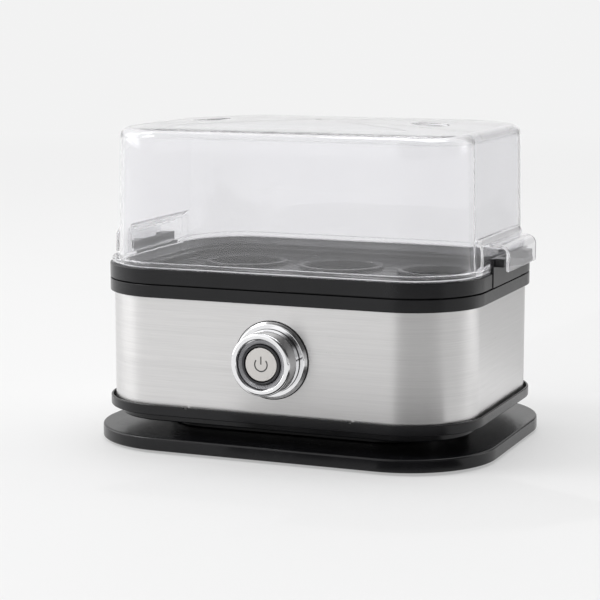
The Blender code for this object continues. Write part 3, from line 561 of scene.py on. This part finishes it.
def make_housing():
    """The floor pan: a stepped underside, a thin lip outside the steel and a spigot inside it."""
    groove, inside = BAND_LOW - GAP, SPIGOT_STEP + 2 * MM
    flat, tier, lip_out, lip_in = 20 * MM, 4.7 * MM, -0.3 * MM, 0.6 * MM
    wall, ledge = 7 * MM, 17.6 * MM
    profile = [
        (flat, TIER_LOW, 0), (tier, TIER_LOW, 0.7 * MM), (tier, LIP_LOW, 0.3 * MM),
        (lip_out, LIP_LOW, 0.6 * MM), (lip_out, LIP_HIGH, 0.4 * MM), (lip_in, LIP_HIGH, 0.25 * MM),
        (lip_in, groove, 0.1 * MM), (SPIGOT_STEP, groove, 0.1 * MM), (SPIGOT_STEP, SPIGOT_HIGH, 0.3 * MM),
        (inside, SPIGOT_HIGH, 0.3 * MM), (inside, ledge, 0.2 * MM), (wall, ledge, 0.3 * MM),
        (wall, FLOOR_HIGH, 0.6 * MM), (flat, FLOOR_HIGH, 0),
    ]
    pan = new_object("housing_pan", swept(BODY, profile, loop=False))
    screws = [middle(f"{kind}_screw_1") - CENTRE for kind in ("base", "housing")]
    base_places, tie_places = [corners(abs(screw.x), abs(screw.y)) for screw in screws]
    combine(pan, [peg(4.2 * MM, FLOOR_HIGH - MM, 24 * MM, *p) for p in base_places], "UNION")
    combine(pan, [peg(4.3 * MM, FLOOR_HIGH - MM, 29.7 * MM, *p) for p in tie_places], "UNION")
    combine(pan, [peg(SCREW_BORE, TIER_LOW - MM, 23 * MM, *p) for p in base_places], "DIFFERENCE")
    combine(pan, [peg(3.5 * MM, TIER_LOW - MM, 15.9 * MM, *p) for p in tie_places], "DIFFERENCE")
    combine(pan, [peg(SCREW_BORE, 15 * MM, 31 * MM, *p) for p in tie_places], "DIFFERENCE")
    mark, deep, notch_x = 0.7 * MM, 0.6 * MM, 37 * MM
    front = -BODY[1] - MM
    notches = []
    for x in (-notch_x, notch_x):
        near = CENTRE + Vector((x - mark, front, LIP_HIGH - deep))
        notches.append(block(near, near + Vector((2 * mark, 2 * MM, 2 * deep))))
    combine(pan, notches, "DIFFERENCE")
    piece(pan, "base", "black_plastic", "lower_housing")


def make_band():
    """The brushed steel skin with its two round holes."""
    outer, inner = BAND_STEP, BAND_STEP + BAND_SKIN
    edge = 0.2 * MM
    profile = [(outer, BAND_LOW, edge), (outer, BAND_HIGH, edge)]
    profile += [(inner, BAND_HIGH, edge), (inner, BAND_LOW, edge)]
    places = stations(BODY, range(0, 91, 3))
    rings = [[point(s, CORNER, step, z) for s in places] for step, z in soften(profile)]
    band = new_object("steel_skin", loft(rings, True))
    holes = []
    for radius, steps, place in ((10 * MM, 64, facing_front(BUTTON)), (6.3 * MM, 48, facing_back(INLET))):
        drill = lathe([(radius, 5 * MM, 0), (radius, -5 * MM, 0)], steps, loop=False)
        holes.append(placed(drill, place))
    combine(band, holes, "DIFFERENCE")
    piece(band, "base", "brushed_steel", "steel_band")


def make_collar():
    """The upper ring over the steel, with the shelf that carries the dish."""
    inside, groove = SPIGOT_STEP + 2 * MM, BAND_STEP - GAP
    groove_high, skirt_low = BAND_HIGH + GAP, DISH_LOW - 0.6 * MM
    shelf_low = SHELF_HIGH - 2 * MM
    seam, mouth, shelf = 2.5 * MM, 6.8 * MM, 13 * MM
    profile = [
        (0, COLLAR_LOW, 0.4 * MM), (0, COLLAR_HIGH, 0.2 * MM), (seam, COLLAR_HIGH, 0.1 * MM),
        (seam, STEP_HIGH, 0.15 * MM), (mouth, STEP_HIGH, 0.4 * MM), (mouth, SHELF_HIGH, 0.6 * MM),
        (shelf, SHELF_HIGH, 0.4 * MM), (shelf, shelf_low, 0.4 * MM), (inside, shelf_low, 0.5 * MM),
        (inside, skirt_low, 0.4 * MM), (SPIGOT_STEP, skirt_low, 0.4 * MM),
        (SPIGOT_STEP, groove_high, 0.1 * MM), (groove, groove_high, 0.1 * MM),
        (groove, COLLAR_LOW, 0.3 * MM),
    ]
    ring = new_object("collar_ring", swept(BODY, profile))
    tie = middle("housing_screw_1") - CENTRE
    ties, clamps = corners(abs(tie.x), abs(tie.y)), [(CLAMP_SCREW_X, 0), (-CLAMP_SCREW_X, 0)]
    top = shelf_low + MM
    posts = [peg(3.2 * MM, 30 * MM, top, *p) for p in ties]
    posts += [peg(3.2 * MM, high("clamp_bar").z + GAP, top, *p) for p in clamps]
    combine(ring, posts, "UNION")
    bores = [peg(SCREW_BORE, 29 * MM, 44 * MM, *p) for p in ties]
    bores += [peg(SCREW_BORE, high("clamp_bar").z, 59.5 * MM, *p) for p in clamps]
    combine(ring, bores, "DIFFERENCE")
    piece(ring, "base", "black_plastic", "collar")


def make_dish():
    """The water dish of bare steel on its silicone seal."""
    rim, seal_in, edge = 7.6 * MM, 12 * MM, 0.3 * MM
    profile = [(rim, SEAL_LOW, edge), (rim, SEAL_HIGH, edge)]
    profile += [(seal_in, SEAL_HIGH, edge), (seal_in, SEAL_LOW, edge)]
    piece(new_object("seal_ring", swept(BODY, profile)), "base", "silicone", "plate_seal")
    floor, rim_low = DISH_LOW + DISH_SKIN, DISH_HIGH - DISH_SKIN
    inside, flat = DISH_STEP + DISH_SKIN, 27 * MM
    profile = [
        (flat, DISH_LOW, 0), (DISH_STEP, DISH_LOW, 2.2 * MM), (DISH_STEP, rim_low, edge),
        (rim, rim_low, edge), (rim, DISH_HIGH, edge), (inside, DISH_HIGH, 0.9 * MM),
        (inside, floor, 1.8 * MM), (flat, floor, 0),
    ]
    dish = new_object("water_dish", swept(BODY, profile, loop=False, steps=6))
    piece(dish, "base", "bare_steel", "heating_plate")


def make_inlet():
    """The bushing where the mains cord goes in."""
    flange, neck, bore = 8.5 * MM, 6 * MM, 3.7 * MM
    thick, deep = 2.3 * MM, -4.5 * MM
    profile = [(bore, thick, 0.6 * MM), (flange, thick, 0.8 * MM), (flange, GAP, 0.2 * MM)]
    profile += [(neck, GAP, 0), (neck, deep, 0.3 * MM), (bore, deep, 0.3 * MM)]
    bushing = new_object("inlet_bushing", placed(lathe(profile, 64), facing_back(INLET)))
    piece(bushing, "base", "black_plastic", "cord_inlet")


# Button. Its profiles are in millimetres: (radius, height outwards from the steel, rounding).


def button_piece(name, profile, slot, body, node, steps=96, loop=True, ripple=0.0):
    """A turned piece on the button's axis. It replaces its CAD node, if it has one."""
    mm = [(radius * MM, height * MM, rounding * MM) for radius, height, rounding in profile]
    bm = placed(lathe(mm, steps, loop, 5, ripple * MM), facing_front(BUTTON))
    return piece(new_object(name, bm), body, slot, *([node] if node else []))


def make_button():
    """The pressed cap and its rings: flange, bezel, a dark spacer, a black ring of painted shade round the
    flange's foot, ribbed light ring, dark guard.
    """
    button_piece(
        "button_flange",
        [(8.6, 2.3, 0.1), (15.3, 2.3, 0.7), (16.15, 0.7, 0.35), (16.15, 0.3, 0.1), (9.7, 0.3, 0),
         (9.7, -7, 0.2), (8.6, -7, 0.2)],
        "chrome", "base", "button_escutcheon",
    )
    # Painted shade: a thin black ring just wider than the flange draws the dark shade line round its foot.
    button_piece(
        "button_shade_ring", [(9.8, 0.28, 0), (16.55, 0.28, 0.08), (16.55, 0.04, 0), (9.8, 0.04, 0)],
        "black_plastic", "base", None,
    )
    button_piece(
        "button_bezel",
        [(10.5, 12.5, 0.6), (13.1, 12.5, 1.2), (13.4, 6.0, 1.0), (13.4, 2.85, 0.2), (8.6, 2.85, 0.1),
         (8.6, 8.6, 0), (10.5, 8.6, 0)],
        "chrome", "base", "button_barrel",
    )
    button_piece(
        "button_spacer", [(9.8, 2.83, 0), (13.5, 2.83, 0.05), (13.5, 2.32, 0.05), (9.8, 2.32, 0)],
        "black_plastic", "base", None,
    )
    button_piece(
        "button_light",
        [(8.6, 10.5, 0.2), (10.2, 11.15, 0.25), (10.2, 8.9, 0), (8.6, 8.9, 0)],
        "light_ring", "base", "light_ring", steps=168, ripple=0.16,
    )
    button_piece(
        "button_guard",
        [(7.4, 11.5, 0.25), (8.3, 11.5, 0.3), (8.3, -6.5, 0.1), (3.0, -6.5, 0), (3.0, -5.2, 0),
         (7.4, -5.2, 0)],
        "dark_plastic", "base", "button_sleeve",
    )
    button_piece(
        "button_face",
        [(0.3, 11.2, 0), (7.1, 11.2, 0.45), (7.1, 7.6, 0.2), (2.4, 7.6, 0), (2.4, -13.8, 0.4),
         (0.3, -13.8, 0)],
        "satin_cap", "button", "button_cap", loop=False,
    )


def make_spring():
    """The coil behind the cap, its end turns level."""
    inner_end, wire, turns, per_turn, sides = high("return_spring"), 0.35 * MM, 4, 28, 10
    radius = (inner_end.x - low("return_spring").x) / 2 - wire
    bottom = BUTTON.y - inner_end.y + wire
    rise = inner_end.y - low("return_spring").y - 2 * wire
    level_end = 0.5 / turns
    around = [2 * math.pi * k / sides for k in range(sides)]
    rings = []
    for i in range(turns * per_turn + 1):
        angle, share = 2 * math.pi * i / per_turn, i / (turns * per_turn)
        out = Vector((math.cos(angle), math.sin(angle), 0))
        climb = min(max((share - level_end) / (1 - 2 * level_end), 0), 1)
        here = out * radius + UP * (bottom + rise * climb)
        rings.append([here + (out * math.cos(a) + UP * math.sin(a)) * wire for a in around])
    coil = new_object("spring_coil", placed(loft(rings, False), facing_front(BUTTON)))
    piece(coil, "base", "bare_steel", "return_spring", weighted=False)
    press = next(joint for joint in frame["joints"] if joint["name"] == "button_press")
    travel = max(abs(limit) for limit in press["range_m"])
    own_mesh(coil)


def strip(points, width, bottom, top):
    """A flat band along a line in the XY plane, between two heights."""
    rings = []
    for i, here in enumerate(points):
        along = (points[min(i + 1, len(points) - 1)] - points[max(i - 1, 0)]).normalized()
        side = Vector((-along.y, along.x)) * width / 2
        left, right = here + side, here - side
        section = ((left, bottom), (left, top), (right, top), (right, bottom))
        rings.append([Vector((*place, height)) for place, height in section])
    return loft(rings, False)


def make_power_mark():
    """The standby sign let into the cap: an open ring with a bar."""
    radius, width, opening = 2.75 * MM, 0.52 * MM, 50
    bottom, top = 11.1 * MM, 11.24 * MM
    first, last, count = math.radians(90 + opening), math.radians(450 - opening), 40
    turns = [first + (last - first) * i / count for i in range(count + 1)]
    ring = [Vector((radius * math.cos(a), radius * math.sin(a))) for a in turns]
    bar = [Vector((0, y * MM)) for y in (0.1, 0.9, 1.7, 2.5, 3.4)]
    for name, line in (("power_ring", ring), ("power_bar", bar)):
        mark = new_object(name, placed(strip(line, width, bottom, top), facing_front(BUTTON)))
        piece(mark, "button", "dark_plastic")


# Tray.


def make_tray():
    """The lift-out tray: a rim flush with the body, a well with six seats, and a grip at each end."""
    well, inside, flat = 7.5 * MM, 9.5 * MM, 22 * MM
    profile = [
        (flat, TRAY_FLOOR, 0), (inside, TRAY_FLOOR, 1.2 * MM), (inside, TRAY_LEDGE, 0.5 * MM),
        (RIM_WALL, TRAY_LEDGE, 0.5 * MM), (RIM_WALL, RIM_HIGH, 0.4 * MM), (0, RIM_HIGH, 0.5 * MM),
        (0, RIM_LOW, 0.2 * MM), (well, RIM_LOW, 0.4 * MM), (well, TRAY_LOW, 1.0 * MM), (flat, TRAY_LOW, 0),
    ]
    tray = new_object("tray_pan", swept(BODY, profile, loop=False))
    eggs = [(column * EGG_X, row * EGG_Y) for column in (-1, 0, 1) for row in (-1, 1)]
    seat_high = TRAY_FLOOR + 1.4 * MM
    seat = [(0.3 * MM, seat_high, 0), (EGG_SEAT, seat_high, 0.6 * MM)]
    seat += [(EGG_SEAT, TRAY_FLOOR - MM, 0), (0.3 * MM, TRAY_FLOOR - MM, 0)]
    combine(tray, [placed(lathe(seat, 64, loop=False), standing(*p)) for p in eggs], "UNION")
    flare, lead = EGG_HOLE + 0.7 * MM, seat_high - 0.7 * MM
    hole = [(flare + MM, seat_high + MM, 0), (flare, seat_high, 0), (EGG_HOLE, lead, 0)]
    hole += [(EGG_HOLE, TRAY_LOW - MM, 0)]
    combine(tray, [placed(lathe(hole, 64, loop=False), standing(*p)) for p in eggs], "DIFFERENCE")
    combine(tray, grips(), "UNION")
    weld(tray)
    piece(tray, "tray", "black_plastic", "egg_tray")


def grips():
    """An upright block with two outward tabs at each end of the tray."""
    shapes = []
    face, reach = BODY[0] + 0.35 * MM, high("egg_tray").x
    foot = ((face - RIM_WALL, -GRIP_HALF_Y, RIM_LOW), (face, GRIP_HALF_Y, RIM_HIGH))
    upright = ((face - 1.55 * MM, -GRIP_HALF_Y, TRAY_LEDGE), (face, GRIP_HALF_Y, GRIP_HIGH))
    tab_y, half, thick = 16.1 * MM, 3.5 * MM, 3.5 * MM
    tabs = [
        ((face - MM, y - half, GRIP_HIGH - thick), (reach, y + half, GRIP_HIGH))
        for y in (-tab_y, tab_y)
    ]
    for side in (1, -1):
        for near, far in (foot, upright, *tabs):
            xs = sorted((side * near[0], side * far[0]))
            bm = block((xs[0], near[1], near[2]), (xs[1], far[1], far[2]), 0.2 * MM)
            shapes.append(placed(bm, Matrix.Translation(CENTRE)))
    return shapes


# Lid.


def eased(value):
    """A smooth step from 0 to 1."""
    value = min(max(value, 0.0), 1.0)
    return value * value * (3 - 2 * value)


def lid_wall(height):
    """How far in the lid's drafted outer wall stands at a height."""
    return LID_STEP + LID_DRAFT * (height - LID_LOW) / (LID_HIGH - LID_LOW)


def crown(x, y):
    """How far the lid's top drops at (x, y) below its middle."""
    along, across = x / (BODY[0] - LID_STEP), y / (BODY[1] - LID_STEP)
    return LID_CROWN_X * along ** 2 + LID_CROWN_Y * across ** 2


def top_rows(skin):
    """Rows of the lid's top and its rounded edge, from the middle out.

    A row is (step, height, share of the pocket, whether the end cut applies, scale).
    """
    radius = LID_FILLET - 0.4 * skin
    hub_step, hub_height = lid_wall(LID_HIGH) + skin + radius, LID_HIGH - skin - radius
    rows = [(26 * MM, LID_HIGH - skin, 0, 0, k) for k in (0.04, 0.2, 0.4, 0.6, 0.8)]
    rows += [(step * MM, LID_HIGH - skin, 0, 0, 1) for step in (26, 21, 16, 12)]
    for i in range(9):
        turn = math.radians(90 - 90 * i / 8)
        step, height = hub_step - radius * math.cos(turn), hub_height + radius * math.sin(turn)
        rows.append((step, height, 0, 0, 1))
    return rows


def side_rows(skin):
    """Rows down the lid's wall and its end pockets."""
    wall_levels = (126 * MM, 115 * MM, 104 * MM, 96 * MM)
    rows = [(lid_wall(z) + skin, z, 0, 0, 1) for z in wall_levels]
    radius = POCKET_ROUND - skin / 2
    hub = POCKET_HIGH - skin - radius
    for i in range(8):
        turn = math.radians(90 - 90 * i / 7)
        height = hub + radius * math.sin(turn)
        rows.append((lid_wall(height) + skin, height, math.cos(turn), 0, 1))
    rows.append((lid_wall(FLANGE_HIGH) + skin, FLANGE_HIGH + 3 * MM, 1, 0, 1))
    rows.append((lid_wall(FLANGE_HIGH) + skin, FLANGE_HIGH, 1, 0, 1))
    return rows


def flange_rows():
    """Rows round the foot flange and the bottom edge that stands inside the tray's rim."""
    rounding = 0.6 * MM
    rows = []
    for hub, first in ((FLANGE_HIGH - rounding, 90), (FLANGE_LOW + rounding, 0)):
        for i in range(5):
            turn = math.radians(first - 90 * i / 4)
            step = FLANGE_STEP + rounding - rounding * math.cos(turn)
            rows.append((step, hub + rounding * math.sin(turn), 0, 1, 1))
    inner = LID_STEP + LID_SKIN
    rows += [(LID_STEP, FLANGE_LOW, 0, 0, 1), (LID_STEP, LID_LOW + 0.5 * MM, 0, 0, 1)]
    rows += [(LID_STEP + 0.3 * MM, LID_LOW, 0, 0, 1), (inner - 0.3 * MM, LID_LOW, 0, 0, 1)]
    rows += [(inner, LID_LOW + 0.5 * MM, 0, 0, 1), (inner, FLANGE_HIGH, 0, 0, 1)]
    return rows


def lid_point(station, row, inside):
    """Where a row of the lid passes a station, with the pocket's bulge, flange's cut and crown."""
    step, height, share, cut, scale = row
    pocket_turn, cut_half_y, cut_turn = 2.6 * MM, GRIP_HALF_Y + 0.6 * MM, 0.6 * MM
    across = abs(point(station, CORNER, LID_STEP, 0).y - CENTRE.y)
    at_end = abs(station[1].x) > 0.5
    edge = POCKET_HALF_Y - (LID_SKIN if inside else 0)
    bulge = eased((edge - across) / pocket_turn) if at_end else 0
    step -= share * bulge * (LID_STEP - POCKET_STEP)
    if cut and at_end:
        step += (POCKET_STEP - FLANGE_STEP) * eased((cut_half_y - across) / cut_turn)
    place = point(station, CORNER, step, height, scale)
    if height > LID_HIGH - 1.5 * LID_FILLET:
        place.z -= crown(place.x, place.y - CENTRE.y)
    return place


def arch(side):
    """One clear handle: an upside-down J that reaches out over the tray's tabs."""
    root_x, round_out, foot_round, edge = 82.0 * MM, 4.0 * MM, 0.6 * MM, 0.5 * MM
    round_in = round_out - ARCH_SKIN
    inner_x, inner_high = ARCH_OUT - ARCH_SKIN, ARCH_HIGH - ARCH_SKIN
    profile = [
        (root_x, ARCH_HIGH, 0), (ARCH_OUT, ARCH_HIGH, round_out), (ARCH_OUT, ARCH_LOW, foot_round),
        (inner_x, ARCH_LOW, foot_round), (inner_x, inner_high, round_in), (root_x, inner_high, 0),
    ]
    outline, rings = soften(profile, True, 8), []
    for y in (-ARCH_HALF_Y, ARCH_HALF_Y):
        rings.append([CENTRE + Vector((side * p.x, y, p.y)) for p in outline])
    bm = loft(rings, False)
    rim = [e for e in bm.edges if abs(e.verts[0].co.y - e.verts[1].co.y) < 1e-6]
    bevel(bm, rim, edge)
    return bm


def make_lid():
    """The clear lid: crowned shell, foot flange, end pockets, two handles and the steam vents."""
    cut_marks, pocket_marks = [21.0, 21.2, 21.4, 21.6], [26.8 + 0.4 * i for i in range(12)]
    end_marks = [sign * y * MM for sign in (-1, 1) for y in cut_marks + pocket_marks]
    angles = [0, 1, 2, 3] + list(range(5, 86, 4)) + [87, 88, 89, 90]
    places = stations(BODY, angles, end_marks)
    outside = top_rows(0) + side_rows(0) + flange_rows()
    inside = list(reversed(top_rows(LID_SKIN) + side_rows(LID_SKIN)))
    rings = [[lid_point(s, row, False) for s in places] for row in outside]
    rings += [[lid_point(s, row, True) for s in places] for row in inside]
    lid = new_object("lid_shell", loft(rings, False))
    combine(lid, [arch(1), arch(-1)], "UNION")
    drill_low, drill_high = 125 * MM, 145 * MM
    ends = [VENT_MIDDLE_X + side * VENT_PITCH for side in (1, -1)]
    drills = [peg(VENT_RADIUS, drill_low, drill_high, x, 0, 64) for x in ends]
    drills.append(peg(PIN_RADIUS, drill_low, drill_high, VENT_MIDDLE_X, 0, 32))
    combine(lid, drills, "DIFFERENCE")
    piece(lid, "lid", "clear_plastic", "lid")


# Stage.


# The level that the camera sees behind the object.
BACKDROP = 0.89


def make_floor():
    """A pale floor that turns into the backdrop's colour where it is far away."""
    bm = bmesh.new()
    bmesh.ops.create_circle(bm, cap_ends=True, segments=96, radius=6.0)
    floor = new_object("floor", bm)
    made, tree, shader = new_material("pale_floor", {"Roughness": 0.6, "Specular IOR Level": 0.2})
    mottle = tree.noise(6, 3)
    tree.put(shader.inputs["Base Color"], tree.blend(mottle, grey(0.765), grey(0.785)))
    place = tree.add("ShaderNodeTexCoord").outputs["Object"]
    distance = tree.add("ShaderNodeVectorMath", {0: place}, operation="LENGTH").outputs["Value"]
    far = tree.remap(distance, 0.45, 1.0, 0.25, 2.0)
    glow = tree.add("ShaderNodeEmission", {"Color": grey(BACKDROP), "Strength": 1.0})
    both = tree.add("ShaderNodeMixShader", {0: far, 1: shader.outputs[0], 2: glow.outputs[0]})
    tree.links.new(both.outputs[0], tree.nodes["Material Output"].inputs["Surface"])
    floor.data.materials.append(made)


# The studio's level all round, by turn: 0 is behind the object, 0.25 its left, 0.5 its front.
STUDIO = [
    (0.0, 0.80), (0.17, 0.85), (0.235, 3.0), (0.303, 3.0), (0.338, 0.96), (0.385, 0.92), (0.42, 1.2),
    (0.478, 1.2), (0.502, 0.50), (0.64, 0.50), (0.675, 0.80), (0.70, 0.45), (0.775, 0.45),
    (0.805, 0.7), (0.838, 2.0), (0.868, 2.0), (0.90, 0.35), (0.965, 0.3), (1.0, 0.80),
]
# Where a black flag stands, at the right: by turn, and by height from 0, level, to 1, overhead.
FLAG_TURN = [(0.0, 0), (0.472, 0), (0.525, 1), (0.77, 1), (0.81, 0), (1.0, 0)]
FLAG_RISE = [(0.0, 0), (0.14, 0), (0.30, 1), (0.80, 1), (0.95, 0), (1.0, 0)]


def make_world():
    """A bright studio with a black flag at the right. The camera itself sees plain near-white."""
    world = bpy.data.worlds.new("studio")
    world.use_nodes = True
    bpy.context.scene.world = world
    tree = Tree(world)
    way = tree.add("ShaderNodeSeparateXYZ", {0: tree.add("ShaderNodeTexCoord").outputs["Generated"]})
    turn = tree.math("ARCTAN2", way.outputs["X"], tree.math("MULTIPLY", way.outputs["Y"], -1.0))
    share = tree.math("ADD", tree.math("DIVIDE", turn, 2 * math.pi), 0.5)
    overhead = tree.remap(way.outputs["Z"], 0, 1, 0.25, 0.7)
    studio = tree.blend(overhead, tree.ramp(share, STUDIO), grey(1.0))
    flag_turn, flag_rise = tree.ramp(share, FLAG_TURN, True), tree.ramp(way.outputs["Z"], FLAG_RISE, True)
    flag = tree.math("MULTIPLY", tree.math("MULTIPLY", flag_turn, flag_rise), 0.95)
    studio = tree.blend(flag, studio, grey(0.02))
    seen = tree.add("ShaderNodeLightPath").outputs["Is Camera Ray"]
    color = tree.blend(seen, studio, grey(BACKDROP))
    background = tree.nodes["Background"]
    tree.put(background.inputs["Color"], color)
    tree.put(background.inputs["Strength"], 1.0)


CARD_HIGH = 0.4 * MM


def make_card(name, corners_xy, height=CARD_HIGH, level=0.004):
    """A card on the floor, black unless a level is given, that shows only in reflections."""
    bm = bmesh.new()
    bm.faces.new([bm.verts.new((x, y, height)) for x, y in corners_xy])
    card = new_object(name, bm)
    sockets = {"Base Color": grey(level), "Roughness": 1.0, "Specular IOR Level": 0.0}
    card.data.materials.append(new_material(name, sockets)[0])
    for kind in ("camera", "diffuse", "transmission", "volume_scatter", "shadow"):
        setattr(card, f"visible_{kind}", False)


def fan(hub, turns, near, far):
    """The corners of a ring's sector on the floor. Its turns are degrees from the front to the right."""
    found = []
    for reach, order in ((far, turns), (near, reversed(turns))):
        for degrees in order:
            angle = math.radians(degrees)
            found.append((hub.x + reach * math.sin(angle), hub.y - reach * math.cos(angle)))
    return found


def make_cards():
    """Cards for the metal to mirror: black by the corner and button, white and grey by the right end."""
    hub = CENTRE + Vector((BODY[0] - CORNER, -BODY[1] + CORNER, 0))
    make_card("card_near", fan(hub, (-6, 15, 40, 65), 0.045, 0.12))
    make_card("card_far", fan(hub, (-6, 15, 40, 65), 0.44, 0.75))
    make_card("card_end", fan(CENTRE, (130, 145, 160, 175), 0.62, 5.5), level=0.38)
    make_card("card_end_near", fan(CENTRE, (145, 155, 165, 175), 0.15, 0.61), level=0.6)
    make_card("card_corner", fan(CENTRE, (116, 123, 130, 137), 0.13, 0.61), level=1.0)
    front = CENTRE.y - BASE[1] - 15 * MM
    deep = front - 48 * MM
    below_button = [(-22 * MM, front), (-45 * MM, deep), (60 * MM, deep), (60 * MM, front)]
    make_card("card_front", below_button, CARD_HIGH + 0.1 * MM)


def make_light(name, place, aim, size, power):
    """A soft box, turned to what it lights."""
    data = bpy.data.lights.new(name, "AREA")
    data.shape, data.size, data.size_y, data.energy = "RECTANGLE", size[0], size[1], power
    light = bpy.data.objects.new(name, data)
    light.location = place
    light.rotation_euler = (Vector(aim) - Vector(place)).to_track_quat("-Z", "Y").to_euler()
    bpy.context.scene.collection.objects.link(light)


def make_lights():
    aim = CENTRE + UP * 0.07
    make_light("key", (-1.45, -0.75, 1.45), aim, (0.8, 0.8), 14)
    make_light("top", (0.1, 0.5, 1.7), aim, (1.4, 0.8), 8)


def make_camera():
    """The photograph's view: from a little to the right of the front and slightly above."""
    azimuth, elevation, distance = math.radians(22.18), math.radians(8.71), 0.8622
    centre = (CAD_BOUNDS[0] + CAD_BOUNDS[1]) / 2
    left, down = 10.56 * MM, 10.86 * MM
    target = Vector((centre.x - left, CENTRE.y, centre.z - down))
    flat = math.cos(elevation)
    back = Vector((math.sin(azimuth) * flat, -math.cos(azimuth) * flat, math.sin(elevation)))
    data = bpy.data.cameras.new("camera")
    data.lens, data.sensor_width, data.clip_start = 116.95, 36.0, 0.01
    camera = bpy.data.objects.new("camera", data)
    camera.location = target + back * distance
    camera.rotation_euler = (-back).to_track_quat("-Z", "Y").to_euler()
    bpy.context.scene.collection.objects.link(camera)
    bpy.context.scene.camera = camera


def finish_nodes():
    """Every CAD node that stays gets the procedural material of its slot."""
    for node in frame["nodes"].values():
        for holder in node.material_slots:
            name = holder.material.name.split(".")[0] if holder.material else ""
            holder.material = LOOKS.get(name, LOOKS["bare_steel"])


make_camera()
make_base()
make_feet()
make_pedestal()
make_housing()
make_band()
make_collar()
make_dish()
make_inlet()
make_button()
make_spring()
make_power_mark()
make_tray()
make_lid()
finish_nodes()
make_floor()
make_cards()
make_world()
make_lights()
scene = bpy.context.scene
scene.view_settings.view_transform = "Standard"
# Light crosses the lid's walls and runs along its thin edges many times before it comes out.
bounces = 32
for kind in ("max", "transmission", "glossy"):
    setattr(scene.cycles, f"{kind}_bounces", bounces)
